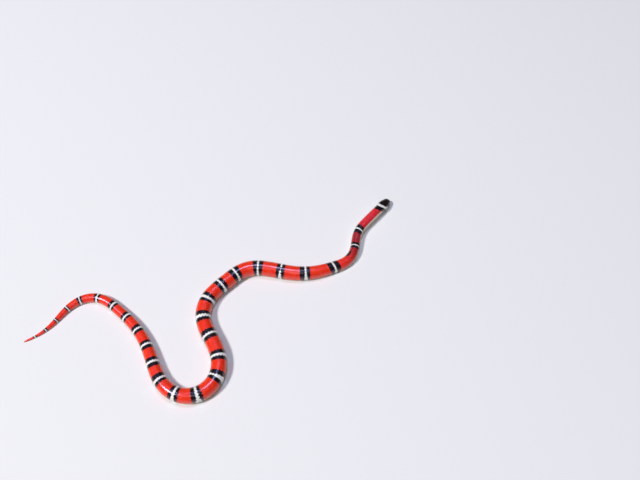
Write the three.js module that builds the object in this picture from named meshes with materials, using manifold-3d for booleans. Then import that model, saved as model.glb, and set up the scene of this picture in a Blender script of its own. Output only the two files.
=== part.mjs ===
// A young milk snake at life size, lying on its belly in loose curves, its neck a little raised.
// Millimetres, +Z up. The origin is the middle of its outline seen from above, at floor level.
import * as THREE from "three";
import { mergeVertices } from "three/addons/utils/BufferGeometryUtils.js";
import Module from "manifold-3d";

// The lie of the body: stretches from the snout to the tail tip, each a length in mm
// and a turn in degrees, where plus turns to the snake's right on the way to the tail.
const BENDS = [
  [20, -3],
  [14, 34],
  [20, -61],
  [30, -33],
  [4, 2],
  [22, 54],
  [4, 0],
  [32, 76],
  [64, -186],
  [36, 26],
  [34, 96],
  [20, -30],
];
const TAILWARD_HEADING = -129; // degrees from +X, from the snout towards the tail
const PATH_STEP = 0.25;

// Body sizes
const NECK_WIDTH = 4.85;
const TRUNK_WIDTH = 7.6;
const VENT_WIDTH = 4.9;
const HEIGHT_RATIO = 0.92; // height over width
const WIDEST_LEVEL = 0.45; // height of the widest level over the whole height
const FLANK_POWER = 3; // how square the flanks turn in under the belly
const BELLY_FLATNESS = 1.06; // over 1 gives the belly a true flat
const TORSO_CUTS = [34, 84, 112, 146, 178, 210]; // where the lengths of the torso begin and end
const VENT = 258;
const TIP_ROUND = 1.6; // length of the tail's rounded tip
const NECK_SWELL = [30, 88]; // where the neck widens to the trunk
const REAR_TAPER = [165, 256]; // where the trunk narrows towards the vent
const TAIL_TAPER = [250, 314]; // where the tail would thin out to nearly nothing
const TAIL_THINNING = 0.96;
const NECK_LIFT = 1.7; // how high the neck's underside is held
const LIFT_ENDS = [14, 46]; // where it comes down to the floor
const HEAD_DIP = 1.0; // how much lower the snout is held than the neck
const DIP_END = 14;
const SIDES = 16;
const TIP_RINGS = [0.3, 0.6, 0.85, 0.97]; // shares of the rounded tip's length

// Belly plates, each standing for three real ones
const PLATE_PITCH = 3.6;
const TAIL_PLATE_PITCH = 2.6;
const PLATE_STEP = 0.17; // how far a plate's free edge stands over the root of the next
const PLATE_RAMP = 0.42; // share of a plate that slopes down from its root
const PLATE_LIP = 0.06; // share of a plate that the step takes
const PLATE_SPAN = [26, 62]; // degrees off the belly's middle where the step fades out

// Head sizes, with s the distance from the snout tip and z the height over the chin
const HEAD_END = 9.2;
const HEAD_STATIONS = [
  // s, half width, top, bottom
  [0, 1.5, 2.72, 0.75],
  [1, 1.74, 3.02, 0.5],
  [2, 1.96, 3.36, 0.3],
  [3, 2.18, 3.66, 0.15],
  [4, 2.4, 3.88, 0.05],
  [5, 2.6, 4.03, 0],
  [6, 2.7, 4.14, 0],
  [7, 2.68, 4.24, 0],
  [8, 2.56, 4.34, 0],
  [HEAD_END, NECK_WIDTH / 2, NECK_WIDTH * HEIGHT_RATIO, 0],
];
const SNOUT_ROUND = 1.7; // depth of the rounded snout
const SNOUT_LEVEL = 1.8; // height of the snout's tip and of the upper lip's widest level
const CHIN_SETBACK = 0.35; // how far the chin starts behind the snout tip
const MOUTH_FRONT = 1.28; // height of the line of the mouth at the snout
const MOUTH_DIP = 0.2; // how far the line sinks under the eye
const MOUTH_CORNER = 6.7;
const MOUTH_CUT = 0.16; // height of the groove between the lips
const MOUTH_DEPTH = 0.3;
const MOUTH_STEPS = 14;
const GROOVE_REACH = 5; // half the width of the blade that cuts the groove
const JAW_INSET = 0.93; // width of the lower jaw over that of the upper one
const CROWN_POWER = 2.5; // how square the head is above the lips
const JAW_POWER = 2.3;
const LIP_ANGLE = 12; // where the section's angles pass from the upper lip to the jaw
const HEAD_RINGS = 28;
const HEAD_CROWDING = 1.7; // crowds the rings towards the snout
const JAW_ANGLES = [6, LIP_ANGLE, LIP_ANGLE + 0.6, 25, 40, 56, 73];
const HEAD_ANGLES = [
  ...Array.from({ length: 17 }, (_, i) => i * 11.25),
  ...JAW_ANGLES.map((down) => 180 + down),
  270,
  ...JAW_ANGLES.map((down) => 360 - down).reverse(),
];

// Eyes and nostrils
const EYE_S = 3.55;
const EYE_LEVEL = 2.56;
const EYE_RADIUS = 0.66;
const EYE_BULGE = 0.16; // how far the eye stands out of the side of the head
const EYE_FLATNESS = 0.62; // thickness over width
const EYE_GAP = 0.14;
const NOSTRIL_S = 0.95;
const NOSTRIL_LEVEL = 2.22;
const NOSTRIL_RADIUS = 0.2;
const NOSTRIL_DEPTH = 0.35;

// Shields of the head: corners as distance from the snout tip and degrees around the
// section, 90 at the middle of the crown and -90 at that of the chin. Two are single.
const FRONTAL = [
  [2.45, 66],
  [4.35, 67],
  [4.85, 90],
  [4.35, 113],
  [2.45, 114],
];
const MENTAL = [
  [0.64, -36],
  [1.25, -90],
  [0.64, -144],
  [0.6, -90],
];
const PAIRED_SHIELDS = {
  internasal: [[0.66, 90], [0.38, 52], [1.2, 46], [1.35, 90]],
  prefrontal: [[1.35, 90], [1.2, 46], [1.4, 36], [2.15, 32], [2.5, 42], [2.45, 66], [2.45, 90]],
  nasal: [[0.38, 52], [0.26, 8], [1.25, 11], [1.4, 36], [1.2, 46]],
  loreal: [[1.4, 36], [1.25, 11], [2.1, 12], [2.15, 32]],
  preocular: [[2.15, 32], [2.1, 12], [2.85, 9], [2.82, 33], [2.5, 42]],
  supraocular: [[2.45, 66], [2.5, 42], [2.82, 38], [3.5, 44], [4.25, 38], [4.5, 50], [4.35, 67]],
  upper_postocular: [[4.25, 38], [4.32, 25], [5, 27], [5.05, 46], [4.5, 50]],
  lower_postocular: [[4.32, 25], [4.2, 9], [4.9, 9], [5, 27]],
  parietal: [[4.85, 90], [4.35, 67], [4.5, 50], [5.05, 46], [6.2, 44], [7.3, 60], [7.6, 90]],
  front_temporal: [[5.05, 46], [4.9, 9], [6.05, 13], [6.2, 44]],
  rear_temporal: [[6.2, 44], [6.05, 13], [7.3, 16], [7.3, 60]],
  front_chin: [[1.25, -42], [1.3, -90], [2.95, -90], [2.85, -52]],
  rear_chin: [[2.85, -52], [2.95, -90], [4.6, -80], [4.5, -58]],
};
const LABIAL_BORDERS = [0.26, 1.15, 1.95, 2.85, 3.75, 4.8, 5.9, 6.9];
const LABIAL_TOPS = [8, 11, 12, 9, 2.5, 9, 12, 15]; // degrees of their upper corners
const JAW_BORDERS = [0.64, 1.25, 2, 2.9, 3.85, 4.8, 5.8, 6.7];
const JAW_LIP = -14; // degrees of the lower labials' upper edge
const JAW_BOTTOMS = [-36, -42, -48, -48, -46, -44, -42, -38];
const SHIELD_EDGE = 0.03; // how far a shield's edge stands out of the head
const SHIELD_RISE = 0.1; // the same for its middle
const SHIELD_ROOT = 0.2; // how far it is sunk in
const SHIELD_SHOULDER = 0.8; // where the raised part begins, as a share of the way out
const SHIELD_INNER = 0.4; // a ring of points nearer the middle, on large shields
const LARGE_SHIELD = 8; // how many points a small shield has round its edge at most
const SHIELD_SIDE_STEP = 0.9;
const SUTURE = 0.06; // half the gap between neighbours

const JOINT_GAP = 0.3; // between lengths of the body
const WELD = 1e-4;
const FINEST_EDGE = 0.004; // slivers shorter than this are taken out of the head

// Colours
const BLACK_GLOSS = { color: 0x0d0b0d, roughness: 0.25, metalness: 0 };
const EYE_GLOSS = { color: 0x050507, roughness: 0.08, metalness: 0 };
const RED_GLOSS = { color: 0xc8281c, roughness: 0.34, metalness: 0 };

const LENGTH = BENDS.reduce((sum, [length]) => sum + length, 0);

const rad = THREE.MathUtils.degToRad;
const { smoothstep, lerp, clamp } = THREE.MathUtils;

const wasm = await Module();
wasm.setup();

// The lie of the body

// Rounding of the snout or the tail's tip: 0 at the tip, 1 from the given depth on.
function roundAt(s, depth = SNOUT_ROUND) {
  const left = 1 - clamp(s / depth, 0, 1);
  return Math.sqrt(1 - left * left);
}

function headingAt(s) {
  let turned = TAILWARD_HEADING;
  let start = 0;
  for (const [length, turn] of BENDS) {
    turned += turn * smoothstep(s, start, start + length);
    start += length;
  }
  return rad(turned);
}

function widthAt(s) {
  const front = lerp(NECK_WIDTH, TRUNK_WIDTH, smoothstep(s, ...NECK_SWELL));
  const rear = (TRUNK_WIDTH - VENT_WIDTH) * smoothstep(s, ...REAR_TAPER);
  const tip = roundAt(LENGTH - s, TIP_ROUND);
  return (front - rear) * (1 - TAIL_THINNING * smoothstep(s, ...TAIL_TAPER)) * tip;
}

function liftAt(s) {
  const neck = NECK_LIFT * (1 - smoothstep(s, ...LIFT_ENDS));
  return neck - HEAD_DIP * (1 - smoothstep(s, 0, DIP_END));
}

// Points of the midline seen from above, one every PATH_STEP, moved so that the middle
// of the body's outline is at the origin.
const midline = [new THREE.Vector2()];
for (let s = PATH_STEP / 2; s < LENGTH; s += PATH_STEP) {
  const step = new THREE.Vector2(Math.cos(headingAt(s)), Math.sin(headingAt(s)));
  midline.push(midline.at(-1).clone().addScaledVector(step, PATH_STEP));
}
const outline = new THREE.Box2();
midline.forEach((point, i) => {
  const s = i * PATH_STEP;
  const side = new THREE.Vector2(-Math.sin(headingAt(s)), Math.cos(headingAt(s)));
  const half = s < HEAD_END ? headMeasure(s, 1) * roundAt(s) : widthAt(s) / 2;
  outline.expandByPoint(point.clone().addScaledVector(side, half));
  outline.expandByPoint(point.clone().addScaledVector(side, -half));
});
const middle = outline.getCenter(new THREE.Vector2());
midline.forEach((point) => point.sub(middle));

// The place of a point given by its distance s from the snout, its offset x to the side
// and its height z over the belly's level.
function place(s, x, z) {
  const i = clamp(Math.floor(s / PATH_STEP), 0, midline.length - 2);
  const on = midline[i].clone().lerp(midline[i + 1], s / PATH_STEP - i);
  const h = headingAt(s);
  return new THREE.Vector3(on.x - x * Math.sin(h), on.y + x * Math.cos(h), z + liftAt(s));
}

// Solids

const power = (value, exponent) => Math.sign(value) * Math.abs(value) ** exponent;

function middleOf(ring) {
  return ring.reduce((sum, p) => sum.add(p), new THREE.Vector3()).divideScalar(ring.length);
}

// Closed surface through rings of points; a fan to a point in the middle closes each end.
function loft(rings, lastPoint = middleOf(rings.at(-1))) {
  const around = rings[0].length;
  const points = [middleOf(rings[0]), ...rings.flat(), lastPoint];
  const at = (ring, side) => 1 + ring * around + (side % around);
  const index = [];
  for (let side = 0; side < around; side++) {
    index.push(0, at(0, side + 1), at(0, side));
    for (let ring = 0; ring < rings.length - 1; ring++) {
      index.push(at(ring, side), at(ring, side + 1), at(ring + 1, side));
      index.push(at(ring + 1, side), at(ring, side + 1), at(ring + 1, side + 1));
    }
    const last = rings.length - 1;
    index.push(points.length - 1, at(last, side), at(last, side + 1));
  }
  return new THREE.BufferGeometry().setFromPoints(points).setIndex(index);
}

function solidOf(geometry) {
  const bare = geometry.clone();
  bare.deleteAttribute("normal");
  bare.deleteAttribute("uv");
  const merged = mergeVertices(bare, WELD);
  return new wasm.Manifold(
    new wasm.Mesh({
      numProp: 3,
      vertProperties: merged.attributes.position.array,
      triVerts: new Uint32Array(merged.index.array),
    }),
  );
}

function geometryOf(solid) {
  const mesh = solid.getMesh();
  return new THREE.BufferGeometry()
    .setAttribute("position", new THREE.BufferAttribute(mesh.vertProperties, 3))
    .setIndex(new THREE.BufferAttribute(mesh.triVerts, 1));
}

function largestOf(solid) {
  return solid.decompose().sort((a, b) => b.volume() - a.volume())[0];
}

// Neck, torso and tail

// A point of the body's cross-section: 0 degrees is the snake's side towards +x,
// 90 the middle of the back and 270 the middle of the belly. Inset moves it inwards.
function sectionPoint(s, degrees, inset = 0) {
  const half = widthAt(s) / 2;
  const height = widthAt(s) * HEIGHT_RATIO;
  const level = height * WIDEST_LEVEL;
  const c = Math.cos(rad(degrees));
  const n = Math.sin(rad(degrees));
  const bent = 2 / FLANK_POWER;
  const x = half * (n >= 0 ? c : power(c, bent));
  const z = n >= 0 ? (height - level) * n : -level * Math.min(1, BELLY_FLATNESS * power(-n, bent));
  const shrink = 1 - inset / Math.hypot(x, z);
  return [x * shrink, level + z * shrink];
}

// One ring of the body; the belly plates' part of it is drawn in by recess.
function ringAt(s, recess) {
  return Array.from({ length: SIDES }, (_, i) => {
    const degrees = (360 * i) / SIDES;
    const offMiddle = Math.abs(degrees - 270);
    const share = 1 - smoothstep(offMiddle, ...PLATE_SPAN);
    const size = Math.min(1, widthAt(s) / NECK_WIDTH);
    return place(s, ...sectionPoint(s, degrees, recess * share * size));
  });
}

// A length of the body between two distances from the snout, with its belly plates:
// each slopes down from its root, runs level and ends in a free edge over the next root.
// The tail's last length is closed by its rounded tip.
function bodyLength(from, to, pitch) {
  const plates = Math.round((to - from) / pitch);
  const size = (to - from) / plates;
  const rings = [];
  for (let plate = 0; plate < plates; plate++) {
    const root = from + plate * size;
    rings.push(ringAt(root, PLATE_STEP));
    rings.push(ringAt(root + size * PLATE_RAMP, 0));
    rings.push(ringAt(root + size * (1 - PLATE_LIP), 0));
  }
  rings.push(ringAt(to, PLATE_STEP));
  if (to < LENGTH - TIP_ROUND) return loft(rings);
  for (const share of TIP_RINGS) rings.push(ringAt(to + TIP_ROUND * share, 0));
  return loft(rings, place(LENGTH, 0, 0));
}

// Head

// Smooth value between the head's stations of one of its measures.
function headMeasure(s, column) {
  const last = HEAD_STATIONS.length - 1;
  const next = clamp(HEAD_STATIONS.filter(([at]) => at <= s).length, 1, last);
  const [before, from, to, after] = [-2, -1, 0, 1].map(
    (offset) => HEAD_STATIONS[clamp(next + offset, 0, last)],
  );
  const span = to[0] - from[0];
  const t = clamp((s - from[0]) / span, 0, 1);
  const leaving = ((to[column] - before[column]) / (to[0] - before[0])) * span;
  const arriving = ((after[column] - from[column]) / (after[0] - from[0])) * span;
  const bend = (1 - t) * leaving - t * arriving + (2 * t - 1) * (to[column] - from[column]);
  return lerp(from[column], to[column], t) + t * (1 - t) * bend;
}

function mouthLevel(s) {
  const along = clamp(s / MOUTH_CORNER, 0, 1);
  return MOUTH_FRONT - MOUTH_DIP * Math.sin(Math.PI * along);
}

// Half width and height of the head's surface, by the angle down or up from the level
// of the lips: the crown above it, the upper lip down to LIP_ANGLE and the jaw below.
function crownPoint(s, up) {
  const front = roundAt(s);
  return [
    headMeasure(s, 1) * front * Math.cos(up) ** (2 / CROWN_POWER),
    SNOUT_LEVEL + (headMeasure(s, 2) - SNOUT_LEVEL) * front * Math.sin(up) ** (2 / CROWN_POWER),
  ];
}

function jawPoint(s, down) {
  const half = headMeasure(s, 1);
  const mouth = lerp(SNOUT_LEVEL, mouthLevel(s), roundAt(s, CHIN_SETBACK));
  const lip = rad(LIP_ANGLE);
  if (down <= lip) return [half * roundAt(s), lerp(SNOUT_LEVEL, mouth, down / lip)];
  const turn = ((down - lip) / (Math.PI / 2 - lip)) * (Math.PI / 2);
  const spread = Math.cos(turn) ** (2 / JAW_POWER);
  if (s <= CHIN_SETBACK) return [half * roundAt(s) * spread, mouth];
  const jaw = roundAt(s - CHIN_SETBACK);
  const drop = (mouth - headMeasure(s, 3)) * jaw * Math.sin(turn) ** (2 / JAW_POWER);
  return [half * jaw * JAW_INSET * spread, mouth - drop];
}

// A point of the head's surface; degrees as for the body, inset draws it inwards.
function headPoint(s, degrees, inset = 0) {
  const fold = 90 - Math.abs(((degrees + 90) % 360) - 180);
  const side = degrees > 90 && degrees < 270 ? -1 : 1;
  const [half, z] = fold >= 0 ? crownPoint(s, rad(fold)) : jawPoint(s, rad(-fold));
  const [neckX, neckZ] = sectionPoint(HEAD_END, degrees);
  const blend = smoothstep(s, MOUTH_CORNER - 0.4, HEAD_END);
  const x = lerp(side * half, neckX, blend);
  const up = lerp(z, neckZ, blend) - SNOUT_LEVEL;
  const shrink = Math.max(0, 1 - inset / Math.max(Math.hypot(x, up), WELD));
  return [x * shrink, SNOUT_LEVEL + up * shrink];
}

// The head's surface, drawn inwards all over by inset.
function headShell(inset = 0) {
  return loft(
    Array.from({ length: HEAD_RINGS }, (_, ring) => {
      const s = HEAD_END * ((ring + 1) / HEAD_RINGS) ** HEAD_CROWDING;
      return HEAD_ANGLES.map((degrees) => {
        const [x, z] = headPoint(s, degrees, inset);
        return place(s + inset, x, z);
      });
    }),
  );
}

// The groove of the line of the mouth: a thin blade along it, less the core of the head.
function mouthGroove() {
  const blade = loft(
    Array.from({ length: MOUTH_STEPS + 1 }, (_, i) => {
      const s = lerp(-1, MOUTH_CORNER, i / MOUTH_STEPS);
      const z = mouthLevel(s);
      return [
        [GROOVE_REACH, z - MOUTH_CUT / 2],
        [GROOVE_REACH, z + MOUTH_CUT / 2],
        [-GROOVE_REACH, z + MOUTH_CUT / 2],
        [-GROOVE_REACH, z - MOUTH_CUT / 2],
      ].map(([x, height]) => place(s, x, height));
    }),
  );
  return solidOf(blade).subtract(solidOf(headShell(MOUTH_DEPTH)));
}

// Where the side of the head is at a given height, and which way it faces there.
function onSide(s, level, side) {
  let low = 0;
  let high = 90;
  while (high - low > 0.01) {
    const half = (low + high) / 2;
    if (headPoint(s, half)[1] < level) low = half;
    else high = half;
  }
  const at = (ds, degrees) => {
    const [x, z] = headPoint(s + ds, low + degrees);
    return place(s + ds, side * x, z);
  };
  const along = at(0.1, 0).sub(at(-0.1, 0));
  const up = at(0, 2).sub(at(0, -2));
  const facing = along.cross(up).normalize();
  const outward = place(s, side, level).sub(place(s, 0, level));
  return { point: at(0, 0), facing: facing.dot(outward) < 0 ? facing.negate() : facing };
}

// The eye's place: a flattened ball sunk into the side of the head.
function eyePose(side) {
  const { point, facing } = onSide(EYE_S, EYE_LEVEL, side);
  const turned = new THREE.Quaternion().setFromUnitVectors(new THREE.Vector3(0, 0, 1), facing);
  const depth = EYE_RADIUS * EYE_FLATNESS - EYE_BULGE;
  return { position: point.addScaledVector(facing, -depth), quaternion: turned };
}

function eyeBall(gap = 0) {
  const ball = new THREE.SphereGeometry(1, 16, 10);
  return ball.scale(EYE_RADIUS + gap, EYE_RADIUS + gap, EYE_RADIUS * EYE_FLATNESS + gap);
}

function eyeSocket(side) {
  const { position, quaternion } = eyePose(side);
  const at = new THREE.Matrix4().compose(position, quaternion, new THREE.Vector3(1, 1, 1));
  return solidOf(eyeBall(EYE_GAP).applyMatrix4(at));
}

function nostril(side) {
  const { point, facing } = onSide(NOSTRIL_S, NOSTRIL_LEVEL, side);
  const turned = new THREE.Quaternion().setFromUnitVectors(new THREE.Vector3(0, 1, 0), facing);
  const at = new THREE.Matrix4().compose(point, turned, new THREE.Vector3(1, 1, 1));
  const inner = NOSTRIL_RADIUS / 2;
  const pit = new THREE.CylinderGeometry(NOSTRIL_RADIUS, inner, NOSTRIL_DEPTH * 2, 10);
  return solidOf(pit.applyMatrix4(at));
}

// A row of shields along a lip, from the degrees of each border's upper and lower ends.
function lipRow(borders, upper, lower) {
  return borders.slice(1).map((border, i) => [
    [borders[i], upper(i)],
    [borders[i], lower(i)],
    [border, lower(i + 1)],
    [border, upper(i + 1)],
  ]);
}

// The corners of every shield of the head.
function shieldOutlines() {
  const paired = [
    ...Object.values(PAIRED_SHIELDS),
    ...lipRow(
      LABIAL_BORDERS,
      (i) => LABIAL_TOPS[i],
      () => -LIP_ANGLE,
    ),
    ...lipRow(
      JAW_BORDERS,
      () => JAW_LIP,
      (i) => JAW_BOTTOMS[i],
    ),
  ];
  const mirrored = paired.map((corners) =>
    corners.map(([s, degrees]) => [s, 180 - degrees]).reverse(),
  );
  return [FRONTAL, MENTAL, ...paired, ...mirrored];
}

// The corners with further points between them, so that no side is longer than a step.
function dividedSides(corners) {
  return corners.flatMap(([s, degrees], i) => {
    const [nextS, nextDegrees] = corners[(i + 1) % corners.length];
    const across = rad(nextDegrees - degrees) * headMeasure(s, 1);
    const count = Math.ceil(Math.hypot(nextS - s, across) / SHIELD_SIDE_STEP);
    return Array.from({ length: count }, (_, k) => [
      lerp(s, nextS, k / count),
      lerp(degrees, nextDegrees, k / count),
    ]);
  });
}

// A shield as a low plate: its edge drawn back from the outline by the suture, its root
// sunk into the head, its middle raised.
function shield(corners) {
  const sides = dividedSides(corners.toReversed());
  const [sumS, sumDegrees] = corners.reduce(([a, b], [s, d]) => [a + s, b + d], [0, 0]);
  const centre = [sumS / corners.length, sumDegrees / corners.length];
  const onHead = (s, degrees, rise) =>
    place(s, ...headPoint(s, (degrees + 360) % 360, -rise));
  const ring = (share, rise) =>
    sides.map(([s, degrees]) => {
      const across = rad(degrees - centre[1]) * headMeasure(s, 1) * roundAt(s);
      const kept = share * (1 - SUTURE / Math.hypot(s - centre[0], across));
      return onHead(lerp(centre[0], s, kept), lerp(centre[1], degrees, kept), rise);
    });
  const rings = [ring(1, -SHIELD_ROOT), ring(1, SHIELD_EDGE), ring(SHIELD_SHOULDER, SHIELD_RISE)];
  if (sides.length > LARGE_SHIELD) rings.push(ring(SHIELD_INNER, SHIELD_RISE));
  return solidOf(loft(rings, onHead(...centre, SHIELD_RISE)));
}

function head() {
  let solid = solidOf(headShell());
  for (const corners of shieldOutlines()) solid = solid.add(shield(corners));
  solid = solid.subtract(mouthGroove());
  for (const side of [-1, 1]) {
    solid = solid.subtract(eyeSocket(side)).subtract(nostril(side));
  }
  return geometryOf(largestOf(solid.simplify(FINEST_EDGE)));
}

// Assembly

const snake = new THREE.Group();

function add(name, geometry, look, pose) {
  const mesh = new THREE.Mesh(geometry, new THREE.MeshStandardMaterial(look));
  mesh.name = name;
  if (pose) {
    mesh.position.copy(pose.position);
    mesh.quaternion.copy(pose.quaternion);
  }
  snake.add(mesh);
}

add("head", head(), BLACK_GLOSS);
add("eye_left", eyeBall(), EYE_GLOSS, eyePose(-1));
add("eye_right", eyeBall(), EYE_GLOSS, eyePose(1));

add("neck", bodyLength(HEAD_END + JOINT_GAP, TORSO_CUTS[0], PLATE_PITCH), RED_GLOSS);
[...TORSO_CUTS.slice(1), VENT].forEach((to, i) => {
  const from = TORSO_CUTS[i] + JOINT_GAP;
  add(`torso_${i + 1}`, bodyLength(from, to, PLATE_PITCH), RED_GLOSS);
});
const tail = bodyLength(VENT + JOINT_GAP, LENGTH - TIP_ROUND, TAIL_PLATE_PITCH);
add("tail", tail, RED_GLOSS);

export default snake;
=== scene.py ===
"""A young milk snake at life size, as a museum model: one skin under its scales, belly scutes and
head shields, with glossy eyes, on a pale floor in soft light."""

import logging
import math
from dataclasses import dataclass, field, fields
from enum import Enum
from typing import Sequence

import bpy
import numpy as np
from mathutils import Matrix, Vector


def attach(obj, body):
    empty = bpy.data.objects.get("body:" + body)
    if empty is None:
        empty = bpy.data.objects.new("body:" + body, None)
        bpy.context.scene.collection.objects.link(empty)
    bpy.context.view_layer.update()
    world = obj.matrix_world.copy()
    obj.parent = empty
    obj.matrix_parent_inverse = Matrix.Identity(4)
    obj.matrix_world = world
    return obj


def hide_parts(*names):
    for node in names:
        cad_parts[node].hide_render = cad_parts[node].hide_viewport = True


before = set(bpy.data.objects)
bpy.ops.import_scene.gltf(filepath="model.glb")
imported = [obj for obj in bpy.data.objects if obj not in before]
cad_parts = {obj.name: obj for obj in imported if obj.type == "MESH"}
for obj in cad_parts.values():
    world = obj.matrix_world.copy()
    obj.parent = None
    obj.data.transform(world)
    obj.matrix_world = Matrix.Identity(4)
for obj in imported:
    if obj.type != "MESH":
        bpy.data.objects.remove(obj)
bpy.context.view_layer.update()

Array = np.ndarray
MM = 0.001
TINY = 1e-12  # keeps a direction of no length from being divided by 0
BAKE_MAP = "OFBake"
SEED = 11
PLAIN_TONE = 0.5  # neither lighter nor darker than the finish
DEEPEST = -1.25  # of a plate's underside, in coat's depths
ROOT_AHEAD = 0.3  # of a scale's middle, in pitches
log = logging.getLogger("milk_snake")


# Small helpers


def smooth(value: Array, low: float, high: float) -> Array:
    """Smooth step from 0 at low to 1 at high.

    Args:
        value: the places to read it at.
        low: where the step starts.
        high: where it ends.

    Returns:
        The step's height at each place.
    """
    share = np.clip((np.asarray(value, float) - low) / (high - low), 0, 1)
    return share * share * (3 - 2 * share)


def blend(start: Array, end: Array, share: Array) -> Array:
    """Start where the share is 0, end where it is 1."""
    return start + (end - start) * share


def bent_power(value: Array, exponent: float) -> Array:
    """A power that keeps the sign of its base."""
    return np.sign(value) * np.abs(value) ** exponent


def odd_near(value: float) -> int:
    """The odd whole number nearest to a value."""
    return 2 * round((value - 1) / 2) + 1


def deselect_all() -> None:
    """Leaves no object selected, in object mode."""
    if bpy.context.object and bpy.context.object.mode != "OBJECT":
        bpy.ops.object.mode_set(mode="OBJECT")
    bpy.ops.object.select_all(action="DESELECT")


def make_active(piece: bpy.types.Object) -> None:
    """Selects one object alone and makes it the active one.

    Args:
        piece: the object.
    """
    deselect_all()
    piece.select_set(True)
    bpy.context.view_layer.objects.active = piece


# The lie and the shape of the body, in millimetres, as the solids have them


def rounded(s: Array, depth: float) -> Array:
    """Rounding of an end: 0 at its tip, 1 from the given depth on."""
    left = 1 - np.clip(np.asarray(s, float) / depth, 0, 1)
    return np.sqrt(np.maximum(0, 1 - left * left))


@dataclass
class Trunk:
    """Widths and cross-section of the neck, torso and tail."""

    length: float = 300.0
    vent: float = 258.0
    neck_width: float = 4.85
    trunk_width: float = 7.6
    vent_width: float = 4.9
    height_ratio: float = 0.92
    widest_level: float = 0.45
    flank_power: float = 3.0
    belly_flatness: float = 1.06
    neck_swell: tuple[float, float] = (30, 88)
    rear_taper: tuple[float, float] = (165, 256)
    tail_taper: tuple[float, float] = (250, 314)
    tail_thinning: float = 0.96
    tip_round: float = 1.6

    def width(self, s: Array) -> Array:
        """Width of the body, without the tail tip's rounding.

        Args:
            s: distances from the snout.

        Returns:
            The widths.
        """
        front = blend(self.neck_width, self.trunk_width, smooth(s, *self.neck_swell))
        rear = (self.trunk_width - self.vent_width) * smooth(s, *self.rear_taper)
        return (front - rear) * (1 - self.tail_thinning * smooth(s, *self.tail_taper))

    def section(self, s: Array, degrees: Array) -> tuple[Array, Array]:
        """A point of the cross-section.

        Args:
            s: distance from the snout.
            degrees: 0 on the snake's right, 90 at the middle of the back, 270 of the belly.

        Returns:
            Its offset to the right and its height over the belly's level.
        """
        width = self.width(s) * rounded(self.length - s, self.tip_round)
        half = width / 2
        height = width * self.height_ratio
        level = height * self.widest_level
        cosine, sine = np.cos(np.radians(degrees)), np.sin(np.radians(degrees))
        bent = 2 / self.flank_power
        x = half * np.where(sine >= 0, cosine, bent_power(cosine, bent))
        under = np.minimum(1, self.belly_flatness * np.abs(sine) ** bent)
        z = np.where(sine >= 0, (height - level) * sine, -level * under)
        return x, level + z


@dataclass
class HeadForm:
    """The head's surface: stations of half width, top and bottom, with a rounded snout."""

    end: float = 9.2
    places: tuple[float, ...] = (0, 1, 2, 3, 4, 5, 6, 7, 8, 9.2)
    halves: tuple[float, ...] = (1.5, 1.74, 1.96, 2.18, 2.4, 2.6, 2.7, 2.68, 2.56, 2.425)
    tops: tuple[float, ...] = (2.72, 3.02, 3.36, 3.66, 3.88, 4.03, 4.14, 4.24, 4.34, 4.462)
    bottoms: tuple[float, ...] = (0.75, 0.5, 0.3, 0.15, 0.05, 0, 0, 0, 0, 0)
    snout_round: float = 1.7
    snout_level: float = 1.8
    chin_setback: float = 0.35
    mouth_front: float = 1.28
    mouth_dip: float = 0.2
    mouth_corner: float = 6.7
    jaw_inset: float = 0.93
    crown_power: float = 2.5
    jaw_power: float = 2.3
    lip_angle: float = 12.0
    nape_ahead: float = 0.4

    def measure(self, s: Array, values: Sequence[float]) -> Array:
        """Smooth value between the stations of one measure.

        Args:
            s: distances from the snout.
            values: the measure at each station.

        Returns:
            The measure at each distance.
        """
        at, value = np.array(self.places), np.array(values)
        last = len(at) - 1
        right = np.clip(np.searchsorted(at, s, side="right"), 1, last)
        left = right - 1
        before, after = np.maximum(left - 1, 0), np.minimum(right + 1, last)
        span = at[right] - at[left]
        share = np.clip((s - at[left]) / span, 0, 1)
        leaving = (value[right] - value[before]) / (at[right] - at[before]) * span
        arriving = (value[after] - value[left]) / (at[after] - at[left]) * span
        rise = value[right] - value[left]
        bend = (1 - share) * leaving - share * arriving + (2 * share - 1) * rise
        return value[left] + rise * share + share * (1 - share) * bend

    def mouth(self, s: Array) -> Array:
        """Height of the line of the mouth."""
        along = np.clip(s / self.mouth_corner, 0, 1)
        return self.mouth_front - self.mouth_dip * np.sin(np.pi * along)

    def crown(self, s: Array, up: Array) -> tuple[Array, Array]:
        """The head's upper half.

        Args:
            s: distances from the snout.
            up: angles up from the lips' level, in radians.

        Returns:
            Half width and height.
        """
        front = rounded(s, self.snout_round)
        bent = 2 / self.crown_power
        half = self.measure(s, self.halves) * front * np.cos(up) ** bent
        top = self.measure(s, self.tops) - self.snout_level
        return half, self.snout_level + top * front * np.sin(up) ** bent

    def jaw(self, s: Array, down: Array) -> tuple[Array, Array]:
        """The upper lip and the jaw.

        Args:
            s: distances from the snout.
            down: angles down from the lips' level, in radians.

        Returns:
            Half width and height.
        """
        full = self.measure(s, self.halves)
        front = rounded(s, self.snout_round)
        share = rounded(s, self.chin_setback)
        mouth = blend(self.snout_level, self.mouth(s), share)
        lip = math.radians(self.lip_angle)
        lip_z = blend(self.snout_level, mouth, np.clip(down / lip, 0, 1))
        turn = np.clip((down - lip) / (np.pi / 2 - lip), 0, 1) * (np.pi / 2)
        bent = 2 / self.jaw_power
        spread = np.maximum(0, np.cos(turn)) ** bent
        back = rounded(s - self.chin_setback, self.snout_round)
        drop = (mouth - self.measure(s, self.bottoms)) * back * np.sin(turn) ** bent
        under_lip = s <= self.chin_setback
        half = np.where(under_lip, full * front, full * back * self.jaw_inset) * spread
        z = np.where(under_lip, mouth, mouth - drop)
        on_lip = down <= lip
        return np.where(on_lip, full * front, half), np.where(on_lip, lip_z, z)


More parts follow.
